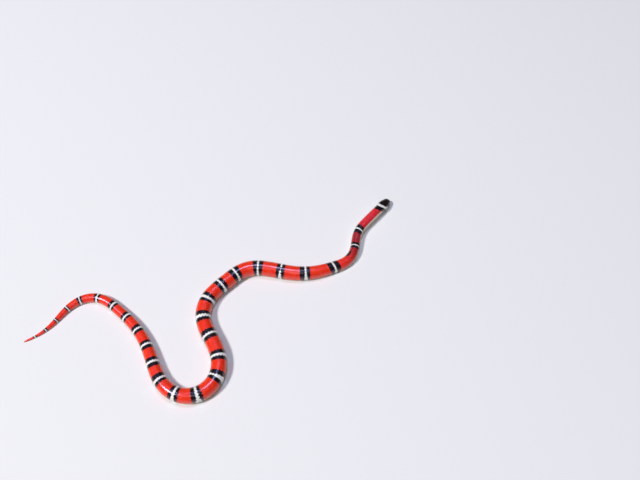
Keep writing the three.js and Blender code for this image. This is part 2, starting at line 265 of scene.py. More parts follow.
def fold_of(degrees: Array) -> Array:
    """Angle above the sides' level: 90 at the crown's middle, -90 at the chin's."""
    return 90 - np.abs(np.mod(degrees + 90, 360) - 180)


@dataclass
class Lie:
    """How the body lies on the floor: its bends seen from above and the neck's lift."""

    bends: tuple[tuple[float, float], ...] = (
        (20, -3), (14, 34), (20, -61), (30, -33), (4, 2), (22, 54),
        (4, 0), (32, 76), (64, -186), (36, 26), (34, 96), (20, -30),
    )
    heading_at_snout: float = -129.0
    step: float = 0.25
    neck_lift: float = 1.7
    lift_ends: tuple[float, float] = (14, 46)
    head_dip: float = 1.0
    dip_end: float = 14.0
    trunk: Trunk = field(default_factory=Trunk)
    head: HeadForm = field(default_factory=HeadForm)

    def __post_init__(self) -> None:
        """Works out the midline, with the middle of the body's outline at the origin."""
        count = round(self.trunk.length / self.step)
        self.along = np.arange(count + 1) * self.step
        turned = self.heading(self.along[:-1] + self.step / 2)
        steps = self.step * np.stack([np.cos(turned), np.sin(turned)], 1)
        points = np.vstack([np.zeros((1, 2)), np.cumsum(steps, 0)])
        turned = self.heading(self.along)
        side = np.stack([-np.sin(turned), np.cos(turned)], 1)
        body = self.trunk.width(self.along) / 2
        body = body * rounded(self.trunk.length - self.along, self.trunk.tip_round)
        head = self.head.measure(self.along, self.head.halves)
        head = head * rounded(self.along, self.head.snout_round)
        half = np.where(self.along < self.head.end, head, body)[:, None]
        outline = np.vstack([points + side * half, points - side * half])
        self.points = points - (outline.min(0) + outline.max(0)) / 2

    def heading(self, s: Array) -> Array:
        """Direction towards the tail.

        Args:
            s: distances from the snout.

        Returns:
            The angles from +X, in radians.
        """
        turned, start = self.heading_at_snout, 0.0
        for length, turn in self.bends:
            turned = turned + turn * smooth(s, start, start + length)
            start += length
        return np.radians(turned)

    def lift(self, s: Array) -> Array:
        """Height of the belly's level over the floor."""
        neck = self.neck_lift * (1 - smooth(s, *self.lift_ends))
        return neck - self.head_dip * (1 - smooth(s, 0, self.dip_end))

    def place(self, s: Array, x: Array, z: Array) -> Array:
        """Bends the straight snake into its lie.

        Args:
            s: distances from the snout.
            x: offsets to the snake's right.
            z: heights over the belly's level.

        Returns:
            The points in millimetres.
        """
        on_x = np.interp(s, self.along, self.points[:, 0])
        on_y = np.interp(s, self.along, self.points[:, 1])
        turned = self.heading(s)
        east, north = on_x - x * np.sin(turned), on_y + x * np.cos(turned)
        return np.stack([east, north, z + self.lift(s)], -1)


@dataclass
class Form:
    """The whole outer surface, by distance from the snout and the turn round the body.

    The turn is 0 at the middle of the back and 1 or -1 at the middle of the belly, plus on the
    snake's right, in equal shares of the girth.
    """

    trunk: Trunk = field(default_factory=Trunk)
    head: HeadForm = field(default_factory=HeadForm)
    lie: Lie = field(default_factory=Lie)
    coat_depth: float = 0.1
    head_coat: float = 0.05
    coat_grows: tuple[float, float] = (5, 10)
    tip_coat: float = 0.35
    probe: float = 0.02
    probe_degrees: float = 1.5
    measured_at: float = 120.0
    measured_points: int = 721

    def __post_init__(self) -> None:
        """Measures the cross-section's girth, which spreads the turns evenly."""
        self.half_turn = np.linspace(0, 180, self.measured_points)
        degrees = 90 + self.half_turn
        x, z = self.trunk.section(np.full(degrees.shape, self.measured_at), degrees)
        steps = np.hypot(np.diff(x), np.diff(z))
        self.girth_table = np.concatenate([[0], np.cumsum(steps)])
        width = float(self.trunk.width(np.array(self.measured_at)))
        self.girth_ratio = 2 * self.girth_table[-1] / width
        self.girth_table /= self.girth_table[-1]

    def degrees(self, turn: Array) -> Array:
        """Angles round the section by the turn.

        Args:
            turn: turns round the body, whole rounds more or less.

        Returns:
            The angles, 90 at the middle of the back.
        """
        wrapped = np.mod(np.asarray(turn, float) + 1, 2) - 1
        away = np.interp(np.abs(wrapped), self.girth_table, self.half_turn)
        return 90 - np.sign(wrapped) * away

    def turn(self, degrees: Array) -> Array:
        """Turns by the angle round the section.

        Args:
            degrees: the angles.

        Returns:
            The turns, from -1 to 1.
        """
        away = 90 - np.asarray(degrees, float)
        away = np.mod(away + 180, 360) - 180
        share = np.interp(np.abs(away), self.half_turn, self.girth_table)
        return np.sign(away) * share

    def girth(self, s: Array) -> Array:
        """Length once round the body."""
        return self.trunk.width(s) * self.girth_ratio

    def coat(self, s: Array) -> Array:
        """Depth of the scales over the skin.

        Args:
            s: distances from the snout.

        Returns:
            The depths.
        """
        nape = blend(self.head_coat, self.coat_depth, smooth(s, *self.coat_grows))
        slim = np.minimum(1, self.trunk.width(s) / self.trunk.neck_width)
        tip = rounded(self.trunk.length - s, self.trunk.tip_round)
        return nape * slim * blend(self.tip_coat, 1, tip)

    def straight(self, s: Array, degrees: Array) -> Array:
        """Surface points of the snake laid straight.

        Args:
            s: distances from the snout.
            degrees: angles round the section.

        Returns:
            For each, its distance, offset to the right and height.
        """
        trunk_x, trunk_z = self.trunk.section(s, degrees)
        fold = fold_of(degrees)
        up = np.radians(np.clip(fold, 0, 90))
        down = np.radians(np.clip(-fold, 0, 90))
        near = np.minimum(s, self.head.end)
        crown_x, crown_z = self.head.crown(near, up)
        jaw_x, jaw_z = self.head.jaw(near, down)
        side = np.where(np.mod(degrees - 90, 360) < 180, -1, 1)
        head_x = side * np.where(fold >= 0, crown_x, jaw_x)
        head_z = np.where(fold >= 0, crown_z, jaw_z)
        neck_x, neck_z = self.trunk.section(np.full(s.shape, self.head.end), degrees)
        share = smooth(s, self.head.mouth_corner - self.head.nape_ahead, self.head.end)
        head_x, head_z = blend(head_x, neck_x, share), blend(head_z, neck_z, share)
        on_head = s < self.head.end
        x, z = np.where(on_head, head_x, trunk_x), np.where(on_head, head_z, trunk_z)
        return np.stack([s, x, z], -1)

    def normal(self, s: Array, degrees: Array) -> Array:
        """Outward directions on the straight snake.

        Args:
            s: distances from the snout.
            degrees: angles round the section.

        Returns:
            The directions, of length 1.
        """
        safe = np.clip(s, 2 * self.probe, self.trunk.length - 2 * self.probe)
        step, turn = self.probe, self.probe_degrees
        along = self.straight(safe + step, degrees) - self.straight(safe - step, degrees)
        around = self.straight(safe, degrees + turn) - self.straight(safe, degrees - turn)
        out = np.cross(around, along)
        return out / np.maximum(np.linalg.norm(out, axis=-1, keepdims=True), TINY)

    def at(self, s: Array, degrees: Array, rise: Array = 0.0) -> Array:
        """Points of the surface in the scene.

        Args:
            s: distances from the snout.
            degrees: angles round the section.
            rise: how far they stand out of the surface, minus for inside it.

        Returns:
            The points in metres.
        """
        s, degrees = np.broadcast_arrays(np.asarray(s, float), np.asarray(degrees, float))
        s = np.clip(s, 0, self.trunk.length)
        rise = np.broadcast_to(np.asarray(rise, float), s.shape)
        base, out = self.straight(s, degrees), self.normal(s, degrees)
        end = (s <= 0) | (s >= self.trunk.length)
        out[..., 1:] = np.where(end[..., None], 0, out[..., 1:])
        moved = base + out * rise[..., None]
        return self.lie.place(moved[..., 0], moved[..., 1], moved[..., 2]) * MM


# Markings


@dataclass(frozen=True)
class Ring:
    """A white ring edged in black: its middle, widths on the back, its pinch and how it lies.

    The slant sets its right side back, and the sweep draws both sides forward.
    """

    middle: float
    white: float
    black_ahead: float
    black_behind: float
    pinch: float = 0.0
    pinch_turn: float = 0.0
    belly_black: float = 0.7
    slant: float = 0.0
    sweep: float = 0.0


@dataclass(frozen=True)
class Fleck:
    """A small black mark in a red band."""

    s: float
    turn: float
    length: float
    breadth: float


@dataclass(frozen=True)
class RearRings:
    """Spacing and size of the rings behind the front ones, each a little irregular.

    A ring has its full size at the full width and the full pitch, and never less than the least
    share of it.
    """

    body_pitch: tuple[float, float] = (11.0, 10.2)
    tail_pitch: tuple[float, float] = (8.6, 5.2)
    last: float = 296.0
    full_width: float = 6.4
    full_pitch: float = 10.5
    least: float = 0.35
    white: float = 1.25
    black: float = 1.8
    pitch_varies: tuple[float, float] = (0.9, 1.1)
    white_varies: tuple[float, float] = (0.85, 1.12)
    black_varies: tuple[float, float] = (0.8, 1.2)
    pinches: tuple[float, ...] = (0.0, 0.0, 0.0, 0.5)
    pinch_turns: tuple[float, float] = (-0.15, 0.15)
    belly_blacks: tuple[float, float] = (0.35, 0.95)

    def drawn(self, draw: np.random.Generator, middle: float, size: float) -> Ring:
        """One ring with its irregularities.

        Args:
            draw: the source of random numbers.
            middle: its distance from the snout.
            size: its share of the full size.

        Returns:
            The ring.
        """
        return Ring(
            middle,
            self.white * size * draw.uniform(*self.white_varies),
            self.black * size * draw.uniform(*self.black_varies),
            self.black * size * draw.uniform(*self.black_varies),
            draw.choice(self.pinches),
            draw.uniform(*self.pinch_turns),
            draw.uniform(*self.belly_blacks),
        )


@dataclass
class Markings:
    """Where the snake is white, black, red or pale, as distances in millimetres.

    The back's widths hold up to where the flank starts. Low on it the white is wider, the black's
    outer edge follows it by a share, and the black is narrower.
    """

    form: Form
    front: tuple[Ring, ...] = (
        Ring(7.8, 1.5, 30.0, 2.8, belly_black=1.0, slant=-0.5, sweep=7.8),
        Ring(26.8, 0.7, 2.0, 2.2, belly_black=0.0, slant=0.25),
        Ring(36.6, 0.5, 1.4, 1.55, belly_black=0.0, slant=0.15),
        Ring(54.2, 0.85, 2.5, 2.6, slant=-0.5),
        Ring(68.9, 0.95, 1.7, 2.5, pinch=0.25, pinch_turn=0.1),
        Ring(81.4, 0.95, 1.65, 1.7, pinch=0.88, pinch_turn=0.06),
        Ring(93.3, 0.85, 2.2, 2.2),
        Ring(105.8, 0.95, 2.1, 2.3),
        Ring(115.2, 0.95, 1.8, 1.9),
    )
    flecks: tuple[Fleck, ...] = (Fleck(43.0, -0.2, 5.0, 2.0), Fleck(60.6, -0.36, 1.5, 0.6))
    rear: RearRings = RearRings()
    flank: tuple[float, float] = (0.22, 0.72)
    white_widening: float = 1.1
    black_follows: float = 0.5
    black_narrowing: float = 0.4
    neck_belly_edge: float = 0.46
    body_belly_edge: float = 0.7
    belly_soft: float = 0.06
    chin_end: float = 4.9
    neck_roll: float = 0.09
    neck_marks: tuple[float, float] = (36.0, 56.0)
    pinch_width: float = 0.1
    sweep_end: float = 0.55

    def __post_init__(self) -> None:
        """Adds the rings that follow those of the front, a little irregular."""
        draw = np.random.default_rng(SEED)
        rings = list(self.front)
        front_end = self.front[-1].middle
        vent, length = self.form.trunk.vent, self.form.trunk.length
        while True:
            last = rings[-1].middle
            if last < vent:
                pitch = blend(*self.rear.body_pitch, (last - front_end) / (vent - front_end))
            else:
                pitch = blend(*self.rear.tail_pitch, (last - vent) / (length - vent))
            middle = last + pitch * draw.uniform(*self.rear.pitch_varies)
            if middle > self.rear.last:
                break
            width = float(self.form.trunk.width(np.array(middle)))
            size = min(1.0, width / self.rear.full_width) * pitch / self.rear.full_pitch
            rings.append(self.rear.drawn(draw, middle, max(size, self.rear.least)))
        self.rings = tuple(rings)

    def nearest(self, s: Array) -> Array:
        """Index of the ring nearest to each distance."""
        middles = self.measures("middle")
        return np.searchsorted((middles[1:] + middles[:-1]) / 2, s)

    def measures(self, name: str) -> Array:
        """One measure of every ring, by the measure's name."""
        return np.array([getattr(ring, name) for ring in self.rings])

    def edges(self, s: Array, turn: Array) -> dict[str, Array]:
        """How far each point is outside of the white, black and pale areas.

        Args:
            s: distances from the snout.
            turn: turns round the body.

        Returns:
            By name, distances in millimetres, minus for inside.
        """
        index = self.nearest(s)
        ring = {each.name: self.measures(each.name)[index] for each in fields(Ring)}
        wrapped = np.mod(turn + 1, 2) - 1
        away = np.abs(wrapped)
        leaning = np.sin(np.pi * wrapped)
        swept = ring["sweep"] * np.minimum(away, self.sweep_end) ** 2
        offset = s - ring["middle"] - ring["slant"] * leaning + swept
        low = smooth(away, *self.flank)
        half = ring["white"] / 2
        near_pinch = np.exp(-(((wrapped - ring["pinch_turn"]) / self.pinch_width) ** 2))
        white = half * (1 + self.white_widening * low) * (1 - ring["pinch"] * near_pinch)
        black = np.where(offset < 0, ring["black_ahead"], ring["black_behind"])
        black = black * (1 - self.black_narrowing * low)
        on_body = smooth(s, *self.neck_marks)
        rolled = np.abs(wrapped + self.neck_roll * (1 - on_body))
        edge = blend(self.neck_belly_edge, self.body_belly_edge, on_body)
        black = black * blend(1, ring["belly_black"], smooth(rolled - edge, 0, self.belly_soft))
        widened = half * (1 + self.black_follows * self.white_widening * low)
        black_edge = np.abs(offset) - widened - black
        girth = self.form.girth(s) / 2
        for fleck in self.flecks:
            along = (s - fleck.s) / (fleck.length / 2)
            across = (wrapped - fleck.turn) * girth / (fleck.breadth / 2)
            size = fleck.breadth / 2
            black_edge = np.minimum(black_edge, (np.hypot(along, across) - 1) * size)
        pale_edge = np.maximum((edge - rolled) * girth, self.chin_end - s)
        white_edge = np.abs(offset) - white
        return {"white_edge": white_edge, "black_edge": black_edge, "pale_edge": pale_edge}


# Materials


Link = bpy.types.NodeSocket
MIX_FACTOR, MIX_START, MIX_END = 0, 6, 7
MIX_RESULT = 2


@dataclass(frozen=True)
class Value:
    """A socket that holds a number, for arithmetic written as Python expressions."""

    tree: "Tree"
    socket: Link

    def __add__(self, other: "Value | float") -> "Value":
        """Sum of two values."""
        return self.tree.math("ADD", self, other)

    def __sub__(self, other: "Value | float") -> "Value":
        """Difference of two values."""
        return self.tree.math("SUBTRACT", self, other)

    def __mul__(self, other: "Value | float") -> "Value":
        """Product of two values."""
        return self.tree.math("MULTIPLY", self, other)

    def __radd__(self, other: float) -> "Value":
        """Sum with a number on the left."""
        return self.tree.math("ADD", other, self)

    def __rsub__(self, other: float) -> "Value":
        """Difference from a number on the left."""
        return self.tree.math("SUBTRACT", other, self)

    def inside(self, soft: float, shift: "Value") -> "Value":
        """Mask of where a signed distance is minus: 1 inside, 0 outside, with a soft edge."""
        return (self + shift).ramped(soft, -soft)

    def ramped(self, low: float, high: float) -> "Value":
        """A step with smooth ends.

        Args:
            low: where it is 0, above or below high.
            high: where it is 1.

        Returns:
            The step's height.
        """
        falls = low > high
        node = self.tree.add("ShaderNodeMapRange", {"interpolation_type": "SMOOTHSTEP"}, {
            "Value": self,
            "From Min": min(low, high),
            "From Max": max(low, high),
            "To Min": 1.0 if falls else 0.0,
            "To Max": 0.0 if falls else 1.0,
        })
        return Value(self.tree, node.outputs["Result"])


class Tree:
    """A material's nodes, added from one method."""

    def __init__(self, name: str) -> None:
        """Makes an empty material with its output.

        Args:
            name: the material's name.
        """
        self.material = bpy.data.materials.new(name)
        self.material.use_nodes = True
        self.nodes = self.material.node_tree.nodes
        self.links = self.material.node_tree.links
        self.nodes.clear()
        self.output = self.nodes.new("ShaderNodeOutputMaterial")

    def add(self, kind: str, settings: dict, inputs: dict) -> bpy.types.Node:
        """Adds a node.

        Args:
            kind: the node's type.
            settings: its own settings, which are set first.
            inputs: values or links, by the socket's name or number.

        Returns:
            The node.
        """
        node = self.nodes.new(kind)
        for name, value in settings.items():
            setattr(node, name, value)
        for name, value in inputs.items():
            socket = node.inputs[name]
            source = value.socket if isinstance(value, Value) else value
            if isinstance(source, bpy.types.NodeSocket):
                self.links.new(source, socket)
            else:
                socket.default_value = source
        return node

    def math(self, operation: str, *values: "Value | float") -> Value:
        """A Math node's result."""
        node = self.add("ShaderNodeMath", {"operation": operation}, dict(enumerate(values)))
        return Value(self, node.outputs[0])

    def attribute(self, name: str) -> Value:
        """A number that the mesh carries."""
        node = self.add("ShaderNodeAttribute", {"attribute_name": name}, {})
        return Value(self, node.outputs["Fac"])

    def noise(self, per_mm: float, detail: float = 2.0) -> Value:
        """Noise on Object coordinates.

        Args:
            per_mm: about how many lumps lie in a millimetre.
            detail: how many finer layers it has.

        Returns:
            The noise, from 0 to 1.
        """
        place = self.add("ShaderNodeTexCoord", {}, {}).outputs["Object"]
        node = self.add("ShaderNodeTexNoise", {"noise_dimensions": "3D"}, {
            "Vector": place, "Scale": per_mm / MM, "Detail": detail})
        return Value(self, node.outputs["Fac"])

    def mix(self, start: Link | tuple, end: Link | tuple, share: Value | float) -> Link:
        """A colour between two.

        Args:
            start: the colour where the share is 0.
            end: the colour where it is 1.
            share: the share.

        Returns:
            The colour's link.
        """
        settings = {"data_type": "RGBA", "blend_type": "MIX"}
        inputs = {MIX_FACTOR: share, MIX_START: start, MIX_END: end}
        return self.add("ShaderNodeMix", settings, inputs).outputs[MIX_RESULT]

    def bump(self, height: Value, distance: float) -> Link:
        """A normal bent by a height in shares of a distance."""
        node = self.add("ShaderNodeBump", {}, {"Height": height, "Distance": distance})
        return node.outputs["Normal"]

    def principled(self, inputs: dict) -> bpy.types.Material:
        """Ends the tree in one Principled shader.

        Args:
            inputs: values or links, by the socket's name.

        Returns:
            The finished material.
        """
        node = self.add("ShaderNodeBsdfPrincipled", {}, inputs)
        self.links.new(node.outputs[0], self.output.inputs["Surface"])
        return self.material


Colour = tuple[float, float, float, float]


def colour(red: int, green: int, blue: int) -> Colour:
    """A linear colour from the three numbers of a screen colour."""
    straight = [(part / 255 + 0.055) / 1.055 for part in (red, green, blue)]
    return (*[value**2.4 for value in straight], 1.0)


@dataclass(frozen=True)
class Pigments:
    """Colours of the rings, and a length of the neck darkened as painted shade."""

    red: Colour = colour(250, 50, 4)
    neck_red: Colour = colour(231, 42, 52)
    black: Colour = colour(14, 9, 13)
    white: Colour = colour(252, 251, 248)
    pale: Colour = colour(252, 238, 216)
    neck_end: tuple[float, float] = (30.0, 60.0)
    # Painted shade: between these distances the neck's red is darkened towards black, by up to the
    # share below, for the shade on that length of the neck.
    painted_neck_shade_start: tuple[float, float] = (22.0, 28.0)
    painted_neck_shade_end: tuple[float, float] = (38.0, 49.0)
    painted_neck_shade: float = 0.5


class Gloss(Enum):
    """How wet a surface looks: its roughness."""

    SCALE = 0.26
    SCUTE = 0.3
    SHIELD = 0.2
    SKIN = 0.5


@dataclass(frozen=True)
class RingedFinish:
    """Glossy scales or skin in rings of white, black and red, over a pale belly.

    Lengths are in millimetres, but for the thin film's, which is in nanometres. Each noise has
    its number of lumps in a millimetre.
    """

    name: str
    gloss: Gloss
    pigments: Pigments = Pigments()
    soft: float = 0.07
    wobble: float = 0.35
    wobble_noise: float = 1.6
    pale_soft: float = 0.22
    pale_wobble: float = 1.5
    tint: float = 0.16
    mottle: float = 0.12
    mottle_noise: float = 6.0
    rim_start: float = 0.72
    rim_shade: float = 0.3
    # Painted shade: a share of the shadow colour over the whole finish, which the bare skin takes
    # as the shade in the gaps between the scales.
    painted_gap_shade: float = 0.0
    shadow: Colour = (0.02, 0.004, 0.006, 1.0)
    highlight: Colour = (1.0, 0.55, 0.4, 1.0)
    highlight_share: float = 0.5
    grain: float = 0.008
    grain_noise: float = 14.0
    grain_detail: float = 3.0
    gloss_varies: float = 0.1
    gloss_noise: float = 2.5
    rim_dulls: float = 0.3
    specular: float = 0.45
    coat: float = 0.8
    coat_roughness: float = 0.18
    film: float = 325.0
    film_index: float = 1.36

    def ringed(self, tree: Tree, wave: Value, black: Value) -> Link:
        """Colours of the markings, with the painted shade on the neck, before their lights and
        darks.

        Args:
            tree: the material's nodes.
            wave: how far the edges wander.
            black: 1 in the black areas, 0 outside them.

        Returns:
            The colour's link.
        """
        pigments = self.pigments
        white = tree.attribute("white_edge").inside(self.soft, wave)
        pale = tree.attribute("pale_edge").inside(self.pale_soft, wave * self.pale_wobble)
        along = tree.attribute("along")
        ground = tree.mix(pigments.neck_red, pigments.red, along.ramped(*pigments.neck_end))
        # Painted shade: a length of the neck darkened towards black.
        painted_neck_shade = along.ramped(*pigments.painted_neck_shade_start) * (1.0 - along.ramped(*pigments.painted_neck_shade_end))
        ground = tree.mix(ground, pigments.black, painted_neck_shade * pigments.painted_neck_shade)
        ground = tree.mix(ground, pigments.pale, pale)
        ground = tree.mix(ground, pigments.black, black)
        return tree.mix(ground, pigments.white, white)

    def material(self) -> bpy.types.Material:
        """Builds the material, which reads the markings that the mesh carries.

        Returns:
            The material.
        """
        tree = Tree(self.name)
        wave = (tree.noise(self.wobble_noise) - 0.5) * self.wobble
        black = tree.attribute("black_edge").inside(self.soft, wave)
        rim = tree.attribute("rim").ramped(self.rim_start, 1.0) * self.rim_shade
        mottle = (tree.noise(self.mottle_noise) - 0.5) * self.mottle
        tone = (tree.attribute("tone") - PLAIN_TONE) * self.tint + mottle
        # Darker by each plate's own tone, at the plates' rims, and by the painted shade of the
        # gaps.
        dark = tree.math("MAXIMUM", tone * -1.0, 0.0) + rim + self.painted_gap_shade
        light = tree.math("MAXIMUM", tone, 0.0) * (1.0 - black) * self.highlight_share
        ground = self.ringed(tree, wave, black)
        ground = tree.mix(ground, self.shadow, tree.math("MINIMUM", dark, 1.0))
        ground = tree.mix(ground, self.highlight, light)
        gloss = (tree.noise(self.gloss_noise) - 0.5) * self.gloss_varies
        grain = tree.noise(self.grain_noise, self.grain_detail)
        return tree.principled({
            "Base Color": ground,
            "Roughness": self.gloss.value + gloss + rim * self.rim_dulls,
            "Normal": tree.bump(grain, self.grain * MM),
            "Specular IOR Level": self.specular,
            "Coat Weight": self.coat,
            "Coat Roughness": self.coat_roughness,
            "Thin Film Thickness": self.film,
            "Thin Film IOR": self.film_index,
        })


@dataclass(frozen=True)
class EyeFinish:
    """A dark wet eye: round black pupil in a deep brown iris."""

    name: str = "wet_eye"
    pupil: Colour = (0.002, 0.002, 0.002, 1.0)
    iris: Colour = colour(64, 26, 12)
    rim: Colour = colour(20, 10, 8)
    pupil_edge: tuple[float, float] = (0.44, 0.48)
    iris_edge: tuple[float, float] = (0.8, 0.92)
    streak: float = 0.5
    streak_noise: float = 9.0
    streak_detail: float = 3.0
    roughness: float = 0.08
    coat: float = 1.0
    coat_roughness: float = 0.02

    def material(self) -> bpy.types.Material:
        """Builds the material, which reads the distance from the eye's middle.

        Returns:
            The material.
        """
        tree = Tree(self.name)
        out = tree.attribute("out")
        streak = tree.noise(self.streak_noise, self.streak_detail) * self.streak
        iris = tree.mix(self.iris, self.rim, streak)
        shown = tree.mix(self.pupil, iris, out.ramped(*self.pupil_edge))
        shown = tree.mix(shown, self.rim, out.ramped(*self.iris_edge))
        return tree.principled({
            "Base Color": shown,
            "Roughness": self.roughness,
            "Coat Weight": self.coat,
            "Coat Roughness": self.coat_roughness,
        })


@dataclass(frozen=True)
class FloorFinish:
    """A plain pale floor."""

    name: str = "pale_floor"
    tone: Colour = colour(234, 234, 236)
    roughness: float = 0.8

    def material(self) -> bpy.types.Material:
        """Builds the material."""
        return Tree(self.name).principled({"Base Color": self.tone, "Roughness": self.roughness})


# Plates: what is modelled once and copied along the body


@dataclass
class Template:
    """A closed plate as arrays, to be copied: its points and faces."""

    points: Array
    loops: Array
    starts: Array

    @staticmethod
    def taken_from(piece: bpy.types.Object) -> "Template":
        """Reads an object's mesh and removes the object.

        Args:
            piece: the object.

        Returns:
            Its mesh as arrays.
        """
        mesh = piece.data
        points = np.empty(len(mesh.vertices) * 3)
        mesh.vertices.foreach_get("co", points)
        loops = np.empty(len(mesh.loops), int)
        mesh.loops.foreach_get("vertex_index", loops)
        starts = np.empty(len(mesh.polygons), int)
        mesh.polygons.foreach_get("loop_start", starts)
        bpy.data.objects.remove(piece)
        bpy.data.meshes.remove(mesh)
        return Template(points.reshape(-1, 3), loops, starts)

    @property
    def share(self) -> Array:
        """How far out each point is: 0 at the middle, 1 at the edge."""
        return np.hypot(self.points[:, 0], self.points[:, 1])

    @property
    def angle(self) -> Array:
        """Angle of each point round the middle, 0 at the rear."""
        return np.arctan2(self.points[:, 1], self.points[:, 0])

    @property
    def bottom(self) -> Array:
        """Which points belong to the underside, below half the plate's thickness."""
        return self.points[:, 2] < -0.5


def thicken(depth: float) -> None:
    """Gives the active sheet thickness, and leaves it in edit mode.

    Args:
        depth: how far its copy lies above it, minus for below.
    """
    bpy.ops.object.mode_set(mode="EDIT")
    bpy.ops.mesh.select_mode(type="FACE")
    bpy.ops.mesh.select_all(action="SELECT")
    bpy.ops.mesh.extrude_region_move(TRANSFORM_OT_translate={"value": (0, 0, depth)})


def face_outwards() -> None:
    """Turns the edited mesh's faces outwards, and leaves edit mode."""
    bpy.ops.mesh.select_all(action="SELECT")
    bpy.ops.mesh.normals_make_consistent(inside=False)
    bpy.ops.object.mode_set(mode="OBJECT")


def round_plate(sides: int, insets: Sequence[float]) -> Template:
    """Models a round plate: a disc given thickness, its top inset to rings and a middle.

    Args:
        sides: points round its edge.
        insets: width of each ring, from the edge inwards, in shares of the radius.

    Returns:
        The plate, of radius 1, its top at height 0 and its underside at -1.
    """
    deselect_all()
    bpy.ops.mesh.primitive_circle_add(
        vertices=sides, radius=1, fill_type="NGON", location=(0, 0, -1))
    disc = bpy.context.object
    bpy.ops.object.transform_apply(location=True)
    thicken(1)
    for width in insets:
        bpy.ops.mesh.inset(thickness=width, depth=0)
    bpy.ops.mesh.poke()
    face_outwards()
    return Template.taken_from(disc)


def wide_plate(across: int, along: int) -> Template:
    """Models a wide plate: a grid given thickness.

    Args:
        across: its divisions from side to side.
        along: its divisions from front to rear.

    Returns:
        The plate, from -1 to 1 both ways, its top at height 0 and its underside at -1.
    """
    deselect_all()
    bpy.ops.mesh.primitive_grid_add(
        x_subdivisions=along, y_subdivisions=across, size=2, location=(0, 0, -1))
    sheet = bpy.context.object
    bpy.ops.object.transform_apply(location=True)
    thicken(1)
    face_outwards()
    return Template.taken_from(sheet)


@dataclass
class Unwrap:
    """The pieces' own unwraps: the skin cut into equal lengths laid one over the other, a small
    patch for each scale or scute, and the head laid out once for its shields and rims."""

    length: float = Trunk.length
    strips: int = 4
    margin: float = 0.01
    patch: float = 0.003
    head_end: float = HeadForm.end
    head_margin: float = 0.02

    def at(self, s: Array, turn: Array, strip: Array | None = None) -> Array:
        """Places on the skin's unwrap.

        Args:
            s: distances from the snout.
            turn: turns round the body.
            strip: which length each point is laid with, or None for its own.

        Returns:
            The map's two coordinates.
        """
        size = self.length / self.strips
        if strip is None:
            strip = np.clip(np.floor(s / size), 0, self.strips - 1)
        fit = 1 - 2 * self.margin
        across = self.margin + fit * np.clip(s / size - strip, 0, 1)
        up = (strip + self.margin + fit * np.clip((turn + 1) / 2, 0, 1)) / self.strips
        return np.stack([across, up], -1)

    def patches(self, s: Array, turn: Array, offsets: Array) -> Array:
        """Small patches on the unwrap, one for each scale or scute.

        Args:
            s: distances from the snout of the patches' middles.
            turn: their turns.
            offsets: places of the plate's points round its middle, from -1 to 1.

        Returns:
            The map's two coordinates.
        """
        return self.at(s, turn) + offsets[None] * self.patch / 2

    def head(self, s: Array, turn: Array) -> Array:
        """Places on the head's unwrap.

        Args:
            s: distances from the snout.
            turn: turns round the head.

        Returns:
            The map's two coordinates.
        """
        fit = 1 - 2 * self.head_margin
        across = self.head_margin + fit * s / self.head_end
        return np.stack([across, self.head_margin + fit * (turn + 1) / 2], -1)


@dataclass
class Shaper:
    """Turns plates laid out by distance and turn into dressed pieces on the body."""

    form: Form
    markings: Markings
    unwrap: Unwrap = field(default_factory=Unwrap)
    sharp_over: float = 48.0

    def piece(self, name: str, template: Template, s: Array, degrees: Array, rise: Array,
              reach: Array, tone: Array, bake: Array, step: float = 0.3) -> bpy.types.Object:
        """Makes one piece of many copies of a plate.

        Args:
            name: the piece's name.
            template: the plate.
            s: distance from the snout of each point of each copy.
            degrees: angle round the section of each.
            rise: how far each stands out of the surface.
            reach: how far out on its plate each is, from 0 to 1.
            tone: one number from 0 to 1 for each copy.
            bake: place of each on the map for baking.
            step: how much of a plate's markings come from its middle alone.

        Returns:
            The piece.
        """
        copies, count = s.shape
        mesh = bpy.data.meshes.new(name)
        points = self.form.at(s, degrees, rise).reshape(-1, 3)
        offsets = np.arange(copies)[:, None]
        loops = (template.loops[None] + offsets * count).ravel()
        mesh.vertices.add(len(points))
        mesh.vertices.foreach_set("co", points.ravel().astype(np.float32))
        mesh.loops.add(len(loops))
        mesh.loops.foreach_set("vertex_index", loops.astype(np.int32))
        mesh.polygons.add(copies * len(template.starts))
        starts = (template.starts[None] + offsets * len(template.loops)).ravel()
        mesh.polygons.foreach_set("loop_start", starts.astype(np.int32))
        mesh.update(calc_edges=True)
        turn = self.form.turn(degrees)
        middle_s = s.mean(1, keepdims=True)
        self.write_markings(mesh, blend(s, middle_s, step).ravel(), turn.ravel())
        self.write(mesh, "rim", reach.ravel())
        self.write(mesh, "tone", np.repeat(tone, count))
        layer = mesh.uv_layers.new(name=BAKE_MAP)
        layer.data.foreach_set("uv", bake.reshape(-1, 2)[loops].ravel().astype(np.float32))
        mesh.validate()
        piece = bpy.data.objects.new(name, mesh)
        bpy.context.collection.objects.link(piece)
        self.shade(piece)
        return piece

    def shade(self, piece: bpy.types.Object) -> None:
        """Shades a piece smooth, with its sharper edges kept."""
        make_active(piece)
        bpy.ops.object.shade_smooth_by_angle(angle=math.radians(self.sharp_over))

    def write(self, mesh: bpy.types.Mesh, name: str, values: Array) -> None:
        """Writes a number for each point of a mesh."""
        attribute = mesh.attributes.new(name, "FLOAT", "POINT")
        attribute.data.foreach_set("value", np.asarray(values, np.float32))

    def write_markings(self, mesh: bpy.types.Mesh, s: Array, turn: Array) -> None:
        """Writes where each point is in the snake's markings.

        Args:
            mesh: the mesh.
            s: distance from the snout of each point.
            turn: its turn round the body.
        """
        for name, values in self.markings.edges(s, turn).items():
            self.write(mesh, name, values)
        self.write(mesh, "along", s)


def settle(piece: bpy.types.Object, material: bpy.types.Material) -> None:
    """Gives a piece its material and its body, and reports it.

    Args:
        piece: the piece.
        material: its material.
    """
    piece.data.materials.clear()
    piece.data.materials.append(material)
    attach(piece, "root")
    faces = sum(len(face.vertices) - 2 for face in piece.data.polygons)
    log.info("%s: %d triangles", piece.name, faces)


# Skin, and the places of the eyes and nostrils in it


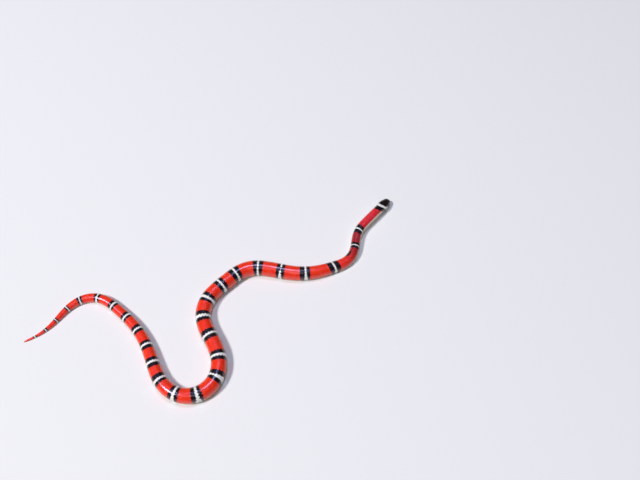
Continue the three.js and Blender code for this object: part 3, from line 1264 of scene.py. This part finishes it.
@dataclass
class EyePlace:
    """Where the eyes sit in the sides of the head, found by trying angles up to the highest."""

    form: Form
    s: float = 3.55
    level: float = 2.56
    radius: float = 0.66
    bulge: float = 0.16
    flatness: float = 0.62
    highest: float = 88.0
    tried: int = 881

    def on_side(self, side: int) -> float:
        """Angle round the section at which the side of the head has the eye's height.

        Args:
            side: 1 for the snake's right, -1 for its left.

        Returns:
            The angle.
        """
        degrees = np.linspace(0, self.highest, self.tried)
        heights = self.form.straight(np.full(degrees.shape, self.s), degrees)[:, 2]
        found = float(np.interp(self.level, heights, degrees))
        return found if side > 0 else 180 - found

    def pose(self, side: int) -> tuple[Vector, Vector]:
        """The eye's place on the head and the way that it faces.

        Args:
            side: 1 for the snake's right, -1 for its left.

        Returns:
            The place in metres and the direction, of length 1.
        """
        degrees = self.on_side(side)
        here, out = (self.form.at(self.s, degrees, rise) for rise in (0.0, 1.0))
        return Vector(here), Vector(out - here).normalized()


@dataclass(frozen=True)
class Nostril:
    """A round pit between the two nasal shields of a side, its wall in shares of its radius."""

    s: float = 0.92
    fold: float = 24.0
    radius: float = 0.17
    wall: tuple[float, float] = (0.5, 1.25)
    depth: float = 0.34
    mm_per_degree: float = 0.029

    def pit(self, s: Array, degrees: Array) -> Array:
        """How deep the head is sunk at a place.

        Args:
            s: distances from the snout.
            degrees: angles round the section.

        Returns:
            The depths in millimetres.
        """
        away = np.hypot(s - self.s, (fold_of(degrees) - self.fold) * self.mm_per_degree)
        low, high = self.wall
        return self.depth * (1 - smooth(away, self.radius * low, self.radius * high))


@dataclass
class Skin:
    """One skin from snout to tail tip, a coat's depth inside the outline.

    Its rings of points lie closer together towards the snout and the tail's tip, and its columns
    towards the line of the mouth.
    """

    form: Form
    shaper: Shaper
    eyes: EyePlace
    nostril: Nostril = Nostril()
    name: str = "skin"
    around: int = 72
    head_rings: int = 90
    head_crowding: float = 1.35
    body_step: float = 0.34
    least_step: float = 0.1
    tip_length: float = 2.0
    tip_rings: int = 14
    tip_crowding: float = 0.6
    head_turns: tuple[float, ...] = (0, 0.55, 0.62, 0.7, 0.78, 1)
    head_folds: tuple[float, ...] = (90, -2, -11, -15, -28, -90)
    crowded_until: tuple[float, float] = (7.2, 9.4)
    mouth_depth: float = 0.22
    mouth_width: float = 3.2
    mouth_angle: float = -13.0
    mouth_starts: tuple[float, float] = (0.1, 0.6)
    corner_reach: tuple[float, float] = (0.6, 0.2)
    orbit_depth: float = 0.3
    orbit_wall: tuple[float, float] = (0.75, 1.15)
    weld: float = 0.002

    def rings(self) -> Array:
        """Distances of the rings of points from the snout.

        Returns:
            The distances, from the snout on.
        """
        head = self.form.head.end * (np.linspace(0, 1, self.head_rings) ** self.head_crowding)
        length = self.form.trunk.length
        start = self.form.head.end + self.body_step
        body = np.arange(start, length - self.tip_length, self.body_step)
        left = 1 - np.linspace(0, 1, self.tip_rings) ** self.tip_crowding
        tip = length - self.tip_length * left
        return np.concatenate([head, body[body < tip[0] - self.least_step], tip])

    def columns(self) -> Array:
        """Turns of the columns of points, from one side of the belly's middle to the other."""
        return np.linspace(-1, 1, self.around + 1)

    def degrees(self, turn: Array, s: Array) -> Array:
        """Angles of the columns.

        Args:
            turn: the column of each point.
            s: its distance from the snout.

        Returns:
            The angles round the section.
        """
        body = self.form.degrees(turn)
        fold = np.interp(np.abs(turn), self.head_turns, self.head_folds)
        head = np.where(turn >= 0, fold, 180 - fold)
        body = np.where((turn < 0) & (body < 0), body + 360, body)
        return blend(head, body, smooth(s, *self.crowded_until))

    def rise(self, s: Array, degrees: Array) -> Array:
        """How far the skin stands out of the outline, with the mouth's groove.

        Args:
            s: distances from the snout.
            degrees: angles round the section.

        Returns:
            The heights, all minus.
        """
        near = np.exp(-(((fold_of(degrees) - self.mouth_angle) / self.mouth_width) ** 2))
        ahead, past = self.corner_reach
        corner = self.form.head.mouth_corner
        along = smooth(s, *self.mouth_starts) * (1 - smooth(s, corner - ahead, corner + past))
        return -self.form.coat(s) - self.mouth_depth * near * along - self.nostril.pit(s, degrees)

    def sink_orbits(self, points: Array) -> None:
        """Presses the skin in round both eyes.

        Args:
            points: the skin's points in metres, which it moves.
        """
        low, high = (self.eyes.radius * share for share in self.orbit_wall)
        for side in (-1, 1):
            centre, out = self.eyes.pose(side)
            gap = np.linalg.norm(points - np.array(centre), axis=1) / MM
            push = self.orbit_depth * (1 - smooth(gap, low, high))
            points -= np.array(out) * push[:, None] * MM

    def build(self) -> bpy.types.Object:
        """Models the skin from a grid wrapped round the body.

        Returns:
            The skin.
        """
        rings, columns = self.rings(), self.columns()
        deselect_all()
        bpy.ops.mesh.primitive_grid_add(
            x_subdivisions=len(columns) - 1, y_subdivisions=len(rings) - 1, size=2)
        piece = bpy.context.object
        piece.name = piece.data.name = self.name
        mesh = piece.data
        flat = np.empty(len(mesh.vertices) * 3)
        mesh.vertices.foreach_get("co", flat)
        flat = flat.reshape(-1, 3)
        column = np.rint((flat[:, 0] + 1) / 2 * (len(columns) - 1)).astype(int)
        row = np.rint((flat[:, 1] + 1) / 2 * (len(rings) - 1)).astype(int)
        s, turn = rings[row], columns[column]
        degrees = self.degrees(turn, s)
        points = self.form.at(s, degrees, self.rise(s, degrees))
        self.sink_orbits(points)
        mesh.vertices.foreach_set("co", points.ravel().astype(np.float32))
        self.shaper.write_markings(mesh, s, turn)
        self.shaper.write(mesh, "rim", np.zeros(len(s)))
        self.shaper.write(mesh, "tone", np.full(len(s), PLAIN_TONE))
        self.lay_out(mesh, s, turn)
        bpy.ops.object.mode_set(mode="EDIT")
        bpy.ops.mesh.select_all(action="SELECT")
        bpy.ops.mesh.remove_doubles(threshold=self.weld * MM)
        face_outwards()
        self.shaper.shade(piece)
        return piece

    def lay_out(self, mesh: bpy.types.Mesh, s: Array, turn: Array) -> None:
        """Lays the skin out on the map for baking.

        Args:
            mesh: the skin's mesh, all of squares.
            s: distance from the snout of each point.
            turn: its turn round the body.
        """
        loops = np.empty(len(mesh.loops), int)
        mesh.loops.foreach_get("vertex_index", loops)
        unwrap = self.shaper.unwrap
        size = unwrap.length / unwrap.strips
        middle = s[loops].reshape(-1, 4).mean(1)
        strip = np.repeat(np.clip(np.floor(middle / size), 0, unwrap.strips - 1), 4)
        while mesh.uv_layers:
            mesh.uv_layers.remove(mesh.uv_layers[0])
        layer = mesh.uv_layers.new(name=BAKE_MAP)
        bake = unwrap.at(s[loops], turn[loops], strip)
        layer.data.foreach_set("uv", bake.ravel().astype(np.float32))


# Scales of the back, flanks, throat and tail


@dataclass
class Rows:
    """How the scales of the back are laid: oblique rows, each ring half a pitch on.

    The number of rows is odd, and changes where it is off the wanted one by more than the slack.
    They leave the tail's spine free, and start where the head's shields end, which is given at
    some angles above the sides' level.
    """

    form: Form
    pitch_base: float = 0.38
    pitch_per_width: float = 0.15
    proportion: float = 0.52
    first_ring: float = 3.2
    first_rows: int = 17
    fewest_rows: int = 5
    most_rows: int = 21
    row_slack: float = 1.3
    spine_length: float = 1.2
    scute_half: float = 0.27
    throat_half: float = 0.15
    scutes_start: float = 9.6
    scutes_full: float = 16.0
    lower_row_gain: float = 0.08
    shield_gap: float = 0.3
    end_folds: tuple[float, ...] = (-90, -60, -55, -50, -46, -44, -42, -38, -12, 15, 20, 60, 90)
    ends: tuple[float, ...] = (4.6, 4.5, 3.7, 3, 3.9, 4.8, 5.8, 6.6, 6.7, 6.8, 7.1, 7.1, 7.3)

    def pitch(self, s: Array) -> Array:
        """Distance between scales in a row along the body, and between belly scutes."""
        return self.pitch_base + self.pitch_per_width * self.form.trunk.width(s)

    def belly_half(self, s: Array) -> Array:
        """Half the turn that the belly's scutes take."""
        share = smooth(s, self.scutes_start, self.scutes_full)
        return blend(self.throat_half, self.scute_half, share)

    def begins(self, turn: Array) -> Array:
        """Where the small scales begin behind the head's shields, by the turn."""
        return np.interp(fold_of(self.form.degrees(turn)), self.end_folds, self.ends)

    def lattice(self) -> Array:
        """Lays out all scales.

        Returns:
            For each scale, its distance, turn, pitch and spacing in turns.
        """
        found = []
        s, ring, rows = self.first_ring, 0, self.first_rows
        while s < self.form.trunk.length - self.spine_length:
            here = np.array(s)
            pitch = float(self.pitch(here))
            throat = s < self.scutes_start
            dorsal = 1.0 if throat else 1 - float(self.belly_half(here))
            girth = float(self.form.girth(here)) * (1 - self.scute_half)
            wanted = girth / (self.proportion * pitch)
            if abs(wanted - rows) > self.row_slack:
                rows = int(np.clip(odd_near(wanted), self.fewest_rows, self.most_rows))
            count = odd_near(rows / (1 - self.scute_half)) if throat else rows
            for row in range(-(count // 2), count // 2 + 1):
                if (row + ring) % 2:
                    continue
                share = row / (count / 2)
                gain = self.lower_row_gain if not throat else 0.0
                turn = dorsal * share * (1 - gain + gain * share * share)
                spacing = dorsal / (count / 2) * (1 - gain + 3 * gain * share * share)
                if s > float(self.begins(np.array(turn))) + self.shield_gap * pitch:
                    found.append((s, turn, pitch, spacing))
            s += pitch / 2
            ring += 1
        return np.array(found)


@dataclass
class DorsalScales:
    """Smooth glossy scales of the back and flanks, each tucked under the one ahead."""

    form: Form
    shaper: Shaper
    rows: Rows
    sides: int = 16
    insets: tuple[float, ...] = (0.08, 0.2, 0.36)
    rear_reach: float = 0.66
    front_reach: float = 0.8
    middle: float = -0.05
    half_width: float = 0.78
    rear_power: float = 1.3
    front_power: float = 0.75
    front_bluntness: float = 0.9
    dome: float = 0.16
    rim_start: float = 0.9
    rim_drop: float = 0.14
    plate_depth: float = 0.5
    cuts: tuple[float, ...] = (0, 50, 100, 154, 206, 252, 301)

    def outline(self, template: Template) -> tuple[Array, Array]:
        """Each point's place on a scale.

        Args:
            template: the plate.

        Returns:
            The places along it in pitches, plus for rearward, and across it in spacings.
        """
        angle, share = template.angle, template.share
        cosine, sine = np.cos(angle), np.sin(angle)
        rear = cosine >= 0
        front_reach = self.front_reach * bent_power(cosine, self.front_bluntness)
        reach = np.where(rear, self.rear_reach * cosine, front_reach)
        power = np.where(rear, self.rear_power, self.front_power)
        width = self.half_width * np.sign(sine) * np.abs(sine) ** power
        return self.middle + reach * share, width * share

    def heights(self, template: Template, along: Array) -> Array:
        """Each point's height over the outline.

        Args:
            template: the plate.
            along: each point's place along the scale, in pitches.

        Returns:
            The heights in coat's depths.
        """
        slope = (along + self.front_reach - self.middle) / (self.rear_reach + self.front_reach)
        slope = np.clip(slope, 0, 1)
        share = template.share
        top = slope - 1 + self.dome * (1 - share**2) * slope
        top = top - self.rim_drop * smooth(share, self.rim_start, 1.0)
        return np.where(template.bottom, np.maximum(slope - 1 - self.plate_depth, DEEPEST), top)

    def build(self) -> list[bpy.types.Object]:
        """Makes the scales.

        Returns:
            One piece for each length of the body between two cuts.
        """
        template = round_plate(self.sides, self.insets)
        along, across = self.outline(template)
        height = self.heights(template, along)
        lattice = self.rows.lattice()
        draw = np.random.default_rng(SEED)
        tones = draw.uniform(0, 1, len(lattice))
        pieces = []
        for index, (low, high) in enumerate(zip(self.cuts, self.cuts[1:])):
            chosen = (lattice[:, 0] >= low) & (lattice[:, 0] < high)
            s0, turn0, pitch, spacing = lattice[chosen].T[..., None]
            s = s0 + along * pitch
            degrees = self.form.degrees(turn0 + across * spacing)
            rise = height * self.form.coat(s)
            root = s0 - pitch * ROOT_AHEAD
            bake = self.shaper.unwrap.patches(root, turn0, template.points[:, :2])
            reach = np.broadcast_to(template.share, s.shape)
            pieces.append(self.shaper.piece(
                f"scales_{index + 1}", template, s, degrees, rise, reach, tones[chosen], bake))
        return pieces


# Belly


@dataclass
class BellyScutes:
    """Wide plates across the belly, one for each row of scales, the last one larger.

    A plate's rear edge is bowed, its front edge less so, and its sides are rounded at the rear.
    Its top falls towards the rear edge and the sides.
    """

    form: Form
    shaper: Shaper
    rows: Rows
    across: int = 22
    along: int = 4
    front_reach: float = 0.75
    rear_reach: float = 0.6
    bow: float = 0.16
    front_bow: float = 0.1
    side_rounding: float = 0.12
    overlap: float = 0.02
    rear_fall: tuple[float, float] = (0.5, 1.0)
    rim_drop: float = 0.15
    side_fall: tuple[float, float] = (0.82, 1.0)
    side_drop: float = 0.35
    plate_depth: float = 0.6
    vent_gap: float = 0.8
    anal_pitches: float = 1.35
    tones: tuple[float, float] = (0.3, 0.7)

    def starts(self) -> Array:
        """Distances of the scutes' middles, up to the vent.

        Returns:
            The distances from the snout.
        """
        found, s = [], self.rows.scutes_start
        while s < self.form.trunk.vent - self.vent_gap:
            found.append(s)
            s += float(self.rows.pitch(np.array(s)))
        return np.array(found)

    def reach(self, template: Template) -> Array:
        """Each point's place along a plate.

        Args:
            template: the plate.

        Returns:
            The places in pitches, plus for rearward.
        """
        x, side = template.points[:, 0], np.abs(template.points[:, 1])
        rear = self.rear_reach - self.bow * side**2
        front = self.front_reach - self.front_bow * side**4
        return np.where(x >= 0, rear * x, front * x)

    def heights(self, template: Template) -> Array:
        """Each point's height over the outline.

        Args:
            template: the plate.

        Returns:
            The heights in coat's depths.
        """
        full = self.front_reach + self.rear_reach
        slope = np.clip((self.reach(template) + self.front_reach) / full, 0, 1)
        rear_drop = self.rim_drop * smooth(template.points[:, 0], *self.rear_fall)
        side_drop = self.side_drop * smooth(np.abs(template.points[:, 1]), *self.side_fall)
        top = slope - 1 - (rear_drop + side_drop)
        return np.where(template.bottom, np.maximum(slope - 1 - self.plate_depth, DEEPEST), top)

    def build(self) -> bpy.types.Object:
        """Makes the belly's scutes, with the anal plate before the vent.

        Returns:
            The piece.
        """
        template = wide_plate(self.across, self.along)
        x, y = template.points[:, 0], template.points[:, 1]
        s0 = self.starts()[:, None]
        pitch = self.rows.pitch(s0)
        pitch[-1] *= self.anal_pitches
        s = s0 + self.reach(template) * pitch
        half = self.rows.belly_half(s) + self.overlap
        turn = 1 + half * y * (1 - self.side_rounding * np.maximum(0, x) ** 3)
        rise = self.heights(template) * self.form.coat(s)
        tones = np.random.default_rng(SEED + 1).uniform(*self.tones, len(s0))
        root, offsets = np.broadcast_to(s0, s.shape), np.stack([x, np.zeros_like(x)], -1)
        bake = self.shaper.unwrap.patches(root, np.mod(turn, 2) - 1, offsets)
        rim = np.broadcast_to(np.maximum(0, x), s.shape)
        return self.shaper.piece(
            "belly_scutes", template, s, self.form.degrees(turn), rise, rim, tones, bake)


@dataclass
class TailScutes:
    """The paired plates under the tail, and the spine that ends it."""

    form: Form
    shaper: Shaper
    rows: Rows
    scales: DorsalScales
    overlap: float = 1.25
    tones: tuple[float, float] = (0.3, 0.7)

    def middles(self) -> Array:
        """Lays out the plates, left and right half a pitch apart.

        Returns:
            For each plate, its distance from the snout, its side and its pitch.
        """
        found, s = [], self.form.trunk.vent
        while s < self.form.trunk.length - self.rows.spine_length:
            pitch = float(self.rows.pitch(np.array(s)))
            found += [(s, 1, pitch), (s + pitch / 2, -1, pitch)]
            s += pitch
        return np.array(found)

    def build(self) -> bpy.types.Object:
        """Makes the plates and, as the last of them, the spine.

        Returns:
            The piece.
        """
        template = round_plate(self.scales.sides, self.scales.insets)
        along, across = self.scales.outline(template)
        s0, side, pitch = self.middles().T[..., None]
        half = self.rows.scute_half / 2
        s = s0 + along * pitch
        turn = side * (1 - half) + across / self.scales.half_width * half * self.overlap
        rise = self.scales.heights(template, along) * self.form.coat(s)

        spine = self.form.trunk.length - self.rows.spine_length * template.share
        cap = np.where(template.bottom, DEEPEST, -template.share**4) * self.form.coat(spine)
        s, rise = np.vstack([s, spine]), np.vstack([rise, cap])
        degrees = np.vstack([self.form.degrees(turn), -np.degrees(template.angle)])
        root = np.vstack([s0 - pitch * ROOT_AHEAD, [spine.min()]])
        root_turn = np.vstack([side, [1]]) * (1 - half)

        bake = self.shaper.unwrap.patches(root, root_turn, template.points[:, :2])
        reach = np.broadcast_to(template.share, s.shape)
        tones = np.random.default_rng(SEED + 2).uniform(*self.tones, len(s))
        return self.shaper.piece("tail_scutes", template, s, degrees, rise, reach, tones, bake)


# Head


Corners = tuple[tuple[float, float], ...]


@dataclass
class HeadShields:
    """The large smooth shields of the head, each a low pillow with fine seams between.

    A shield is given by its corners, each a distance from the snout and an angle round the
    section. Of a pair only the right one is given.
    """

    form: Form
    shaper: Shaper
    nostril: Nostril = Nostril()
    sides: int = 44
    insets: tuple[float, ...] = (0.035, 0.07, 0.13, 0.22, 0.25)
    edge: float = 0.005
    crown_rise: float = 0.05
    pillow: tuple[float, float] = (0.72, 1.0)
    pillow_power: float = 1.5
    root: float = 0.16
    rostral_root: float = 0.1
    suture: float = 0.022
    corner: float = 0.1
    least_share: float = 0.5
    least_front: float = 0.5
    tones: tuple[float, float] = (0.35, 0.65)

    frontal: Corners = ((2.45, 66), (4.35, 67), (4.85, 90), (4.35, 113), (2.45, 114))
    mental: Corners = ((0.64, -36), (1.25, -90), (0.64, -144), (0.6, -90))
    paired: tuple[Corners, ...] = (
        ((0.66, 90), (0.38, 52), (1.2, 46), (1.35, 90)),
        ((1.35, 90), (1.2, 46), (1.4, 36), (2.15, 32), (2.5, 42), (2.45, 66), (2.45, 90)),
        ((0.38, 52), (0.26, 8), (0.87, 9.5), (0.92, 24), (0.88, 48.5)),
        ((0.88, 48.5), (0.92, 24), (0.87, 9.5), (1.25, 11), (1.4, 36), (1.2, 46)),
        ((1.4, 36), (1.25, 11), (2.1, 12), (2.15, 32)),
        ((2.15, 32), (2.1, 12), (2.85, 9), (2.82, 33), (2.5, 42)),
        ((2.45, 66), (2.5, 42), (2.82, 38), (3.5, 44), (4.25, 38), (4.5, 50), (4.35, 67)),
        ((4.25, 38), (4.32, 25), (5, 27), (5.05, 46), (4.5, 50)),
        ((4.32, 25), (4.2, 9), (4.9, 9), (5, 27)),
        ((4.85, 90), (4.35, 67), (4.5, 50), (5.05, 46), (6.2, 44), (7.3, 60), (7.6, 90)),
        ((5.05, 46), (4.9, 9), (6.05, 13), (6.2, 44)),
        ((6.2, 44), (6.05, 13), (7.3, 16), (7.3, 60)),
        ((1.25, -42), (1.3, -90), (2.95, -90), (2.85, -52)),
        ((2.85, -52), (2.95, -90), (4.6, -80), (4.5, -58)),
    )
    upper_borders: tuple[float, ...] = (0.26, 1.15, 1.95, 2.85, 3.75, 4.8, 5.9, 6.9)
    upper_tops: tuple[float, ...] = (8, 11, 12, 9, 2.5, 9, 12, 15)
    upper_bottom: float = -12.0
    lower_borders: tuple[float, ...] = (0.64, 1.25, 2, 2.9, 3.85, 4.8, 5.8, 6.7)
    lower_top: float = -14.0
    lower_bottoms: tuple[float, ...] = (-36, -42, -48, -48, -46, -44, -42, -38)
    rostral_folds: tuple[float, ...] = (-90, -20, -12, 8, 52, 90)
    rostral_reach: tuple[float, ...] = (0.3, 0.3, 0.21, 0.2, 0.31, 0.6)

    def lip_row(self, borders: Sequence[float], upper: Sequence[float],
                lower: Sequence[float]) -> list[Corners]:
        """Corners of a row of shields along a lip.

        Args:
            borders: distances of the borders between them.
            upper: angle of the upper end of each border.
            lower: angle of its lower end.

        Returns:
            The corners of each shield.
        """
        return [
            ((borders[i], upper[i]), (borders[i], lower[i]),
             (borders[i + 1], lower[i + 1]), (borders[i + 1], upper[i + 1]))
            for i in range(len(borders) - 1)
        ]

    def outlines(self) -> list[Array]:
        """Corners of every shield but the rostral.

        Returns:
            For each, its corners as distances and degrees.
        """
        count = len(self.upper_borders)
        paired = [
            *self.paired,
            *self.lip_row(self.upper_borders, self.upper_tops, [self.upper_bottom] * count),
            *self.lip_row(self.lower_borders, [self.lower_top] * count, self.lower_bottoms),
        ]
        mirrored = [[(s, 180 - degrees) for s, degrees in corners] for corners in paired]
        shields = (self.frontal, self.mental, *paired, *mirrored)
        return [np.array(corners, float) for corners in shields]

    def edge_points(self, corners: Array, centre: Array, angles: Array) -> Array:
        """Points on the edge of a shield, by their angle on the round plate.

        Each is the mean of three on the outline, which rounds its corners.

        Args:
            corners: the shield's corners.
            centre: its middle.
            angles: the angles of the plate's points.

        Returns:
            Distance and degrees of each point.
        """
        scale = self.across_scale(centre)
        flat = (corners - centre) * scale
        turned = np.arctan2(flat[:, 1], flat[:, 0])
        if np.mod(turned[1] - turned[0] + np.pi, 2 * np.pi) < np.pi:
            flat, turned = flat[::-1], turned[::-1]
        closed = np.vstack([flat, flat[:1]])
        steps = np.linalg.norm(np.diff(closed, axis=0), axis=1)
        total = np.concatenate([[0], np.cumsum(steps)])
        share = np.mod(-(angles - turned[0]) / (2 * np.pi), 1)
        walk = share * total[-1]
        offsets = (0, -self.corner, self.corner)
        picked = np.zeros((len(angles), 2))
        for offset in offsets:
            place = np.mod(walk + offset, total[-1])
            picked += np.stack([np.interp(place, total, closed[:, i]) for i in (0, 1)], 1)
        picked /= len(offsets)
        size = np.linalg.norm(picked, axis=1, keepdims=True)
        picked = picked * np.maximum(self.least_share, 1 - self.suture / size)
        return centre + picked / scale

    def across_scale(self, centre: Array) -> Array:
        """Size of the two coordinates round a shield's middle.

        Args:
            centre: the shield's middle.

        Returns:
            Millimetres for each unit of distance and for each degree.
        """
        half = float(self.form.head.measure(np.array(centre[0]), self.form.head.halves))
        ahead = np.array(max(self.least_front, centre[0]))
        front = float(rounded(ahead, self.form.head.snout_round))
        return np.array([1.0, math.radians(1) * half * front])

    def profile(self, template: Template) -> Array:
        """Height of each point of a shield over the head.

        Args:
            template: the plate.

        Returns:
            The heights in millimetres.
        """
        fall = smooth(template.share, *self.pillow) ** self.pillow_power
        top = self.edge + (self.crown_rise - self.edge) * (1 - fall)
        return np.where(template.bottom, -self.root, top)

    def build(self) -> bpy.types.Object:
        """Makes the shields, the last of them the rostral round the snout's tip.

        Returns:
            The piece.
        """
        template = round_plate(self.sides, self.insets)
        share, angle = template.share, template.angle
        height = self.profile(template)
        places, degrees = [], []
        for corners in self.outlines():
            centre = corners.mean(0)
            edge = self.edge_points(corners, centre, angle)
            spot = centre + (edge - centre) * share[:, None]
            places.append(spot[:, 0])
            degrees.append(spot[:, 1])
        fold = np.degrees(angle)
        reach = np.interp(fold_of(fold), self.rostral_folds, self.rostral_reach) - self.suture
        places.append(reach * share)
        degrees.append(fold)
        s, degrees = np.array(places), np.array(degrees)
        rise = np.broadcast_to(height, s.shape).copy()
        rise[-1] = np.where(template.bottom, -self.rostral_root, rise[-1])
        rise -= self.nostril.pit(s, degrees)
        spread = np.broadcast_to(share, s.shape)
        tones = np.random.default_rng(SEED + 3).uniform(*self.tones, len(s))
        bake = self.shaper.unwrap.head(s, self.form.turn(degrees))
        return self.shaper.piece(
            "head_shields", template, s, degrees, rise, spread, tones, bake, step=0.0)


@dataclass
class Eyes:
    """Dark glossy eyes, slightly proud of the head, each in a thin rim."""

    form: Form
    place: EyePlace
    segments: int = 48
    rings: int = 32
    rim_segments: int = 64
    rim_sides: int = 12
    rim_radius: float = 0.6
    rim_thickness: float = 0.14

    def build(self, side: int, name: str) -> bpy.types.Object:
        """Makes one eye.

        Args:
            side: 1 for the snake's right, -1 for its left.
            name: the piece's name.

        Returns:
            The eye.
        """
        here, out = self.place.pose(side)
        radius = self.place.radius * MM
        depth = radius * self.place.flatness - self.place.bulge * MM
        deselect_all()
        bpy.ops.mesh.primitive_uv_sphere_add(
            segments=self.segments, ring_count=self.rings, radius=radius)
        ball = bpy.context.object
        ball.name = ball.data.name = name
        bpy.ops.object.mode_set(mode="EDIT")
        bpy.ops.mesh.select_all(action="SELECT")
        bpy.ops.transform.resize(value=(1, 1, self.place.flatness))
        bpy.ops.object.mode_set(mode="OBJECT")
        mesh = ball.data
        spread = [math.hypot(v.co.x, v.co.y) / radius if v.co.z > 0 else 1.0 for v in mesh.vertices]
        attribute = mesh.attributes.new("out", "FLOAT", "POINT")
        attribute.data.foreach_set("value", spread)
        ball.rotation_mode = "QUATERNION"
        ball.rotation_quaternion = out.to_track_quat("Z", "Y")
        ball.location = here - out * depth
        make_active(ball)
        bpy.ops.object.transform_apply(location=True, rotation=True, scale=True)
        bpy.ops.object.shade_smooth()
        return ball

    def rims(self, shaper: Shaper) -> bpy.types.Object:
        """Makes the thin rims of skin round both eyes.

        Args:
            shaper: what turns plates into pieces.

        Returns:
            The piece, with both rims.
        """
        deselect_all()
        bpy.ops.mesh.primitive_torus_add(
            major_segments=self.rim_segments, minor_segments=self.rim_sides,
            major_radius=1, minor_radius=self.rim_thickness)
        template = Template.taken_from(bpy.context.object)
        x, y, z = template.points.T * self.rim_radius
        middles = np.array([[self.place.on_side(side)] for side in (-1, 1)])
        ends = self.form.straight(np.full(2, self.place.s), middles[1] + (-1, 1))
        mm_per_degree = float(np.linalg.norm(ends[1] - ends[0])) / 2
        degrees = middles - y / mm_per_degree
        s, rise = (np.broadcast_to(value, degrees.shape) for value in (self.place.s + x, z))
        bake = shaper.unwrap.head(s, self.form.turn(degrees))
        tones = np.full(len(middles), PLAIN_TONE)
        return shaper.piece(
            "eye_rims", template, s, degrees, rise, np.zeros(s.shape), tones, bake)


# Studio


@dataclass(frozen=True)
class Lamp:
    """A soft round lamp that faces the snake."""

    name: str
    place: tuple[float, float, float]
    size: float
    power: float
    tone: tuple[float, float, float]

    def build(self) -> None:
        """Adds the lamp."""
        turned = (-Vector(self.place)).to_track_quat("-Z", "Y").to_euler()
        bpy.ops.object.light_add(type="AREA", location=self.place, rotation=turned)
        lamp = bpy.context.object
        lamp.name = self.name
        lamp.data.shape = "DISK"
        lamp.data.size = self.size
        lamp.data.energy = self.power
        lamp.data.color = self.tone


@dataclass
class Studio:
    """The floor, the lights and the camera, which is placed in millimetres, the rest in metres."""

    form: Form
    elevation: float = 58.0
    distance: float = 358.0
    lens: float = 38.0
    sensor: float = 36.0
    snout_in_view: tuple[float, float] = (37.5, 24.4)
    clip_start: float = 0.01
    floor_size: float = 3.0
    floor_depth: float = 0.02
    key: Lamp = Lamp("key", (-1.3, -0.5, 2.0), 0.4, 47.0, (1.0, 0.98, 0.96))
    sheen: Lamp = Lamp("sheen", (0.1, 0.5, 2.2), 0.45, 15.0, (0.72, 0.76, 1.0))
    fill: Lamp = Lamp("fill", (0.1, -0.95, 1.75), 0.8, 4.0, (1.0, 1.0, 0.95))
    world_tone: tuple[float, float, float] = (0.92, 0.93, 0.97)
    world_strength: float = 0.08

    def build(self) -> None:
        """Sets the stage: floor, camera, lamps and an even light from all round."""
        self.floor()
        self.camera()
        for lamp in (self.key, self.sheen, self.fill):
            lamp.build()
        world = bpy.data.worlds.new("soft_daylight")
        world.use_nodes = True
        background = world.node_tree.nodes["Background"]
        background.inputs["Color"].default_value = (*self.world_tone, 1.0)
        background.inputs["Strength"].default_value = self.world_strength
        bpy.context.scene.world = world
        bpy.context.scene.view_settings.view_transform = "Standard"

    def floor(self) -> None:
        """Adds a wide floor, its top at the height on which the snake lies."""
        deselect_all()
        bpy.ops.mesh.primitive_plane_add(size=self.floor_size)
        floor = bpy.context.object
        floor.name = floor.data.name = "floor"
        thicken(-self.floor_depth)
        face_outwards()
        floor.data.materials.append(FloorFinish().material())

    def camera(self) -> None:
        """Adds the camera, from which the snake has the photo's framing."""
        snout = self.form.lie.points[0]
        aim = Vector((snout[0] - self.snout_in_view[0], snout[1] - self.snout_in_view[1], 0))
        up = math.radians(self.elevation)
        back = Vector((0, -math.cos(up), math.sin(up))) * self.distance
        bpy.ops.object.camera_add(
            location=(aim + back) * MM, rotation=(math.pi / 2 - up, 0, 0))
        camera = bpy.context.object
        camera.data.lens = self.lens
        camera.data.sensor_width = self.sensor
        camera.data.clip_start = self.clip_start
        bpy.context.scene.camera = camera


def main() -> None:
    """Builds the snake and the stage."""
    logging.basicConfig(level=logging.INFO, format="%(message)s")
    form = Form()
    markings = Markings(form)
    shaper = Shaper(form, markings)
    rows = Rows(form)
    eye_place = EyePlace(form)

    scale_finish = RingedFinish("ringed_scales", Gloss.SCALE).material()
    scute_finish = RingedFinish("ringed_scutes", Gloss.SCUTE, rim_shade=0.2).material()
    shield_finish = RingedFinish("black_shields", Gloss.SHIELD, tint=0.08, wobble=0.25).material()
    # The bare skin is painted darker, as the shade in the gaps between the scales.
    skin_finish = RingedFinish("bare_skin", Gloss.SKIN, painted_gap_shade=0.35, film=0.0).material()
    eye_finish = EyeFinish().material()

    skin = Skin(form, shaper, eye_place).build()
    settle(skin, skin_finish)
    nodes = [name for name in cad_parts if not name.startswith("eye")]
    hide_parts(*nodes)

    dorsal = DorsalScales(form, shaper, rows)
    for piece in dorsal.build():
        settle(piece, scale_finish)
    for scutes in (BellyScutes(form, shaper, rows), TailScutes(form, shaper, rows, dorsal)):
        settle(scutes.build(), scute_finish)
    settle(HeadShields(form, shaper).build(), shield_finish)

    eyes = Eyes(form, eye_place)
    for side, node in ((-1, "eye_left"), (1, "eye_right")):
        ball = eyes.build(side, f"{node}_ball")
        settle(ball, eye_finish)
        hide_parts(node)
    settle(eyes.rims(shaper), shield_finish)

    Studio(form).build()


if __name__ == "__main__":
    main()
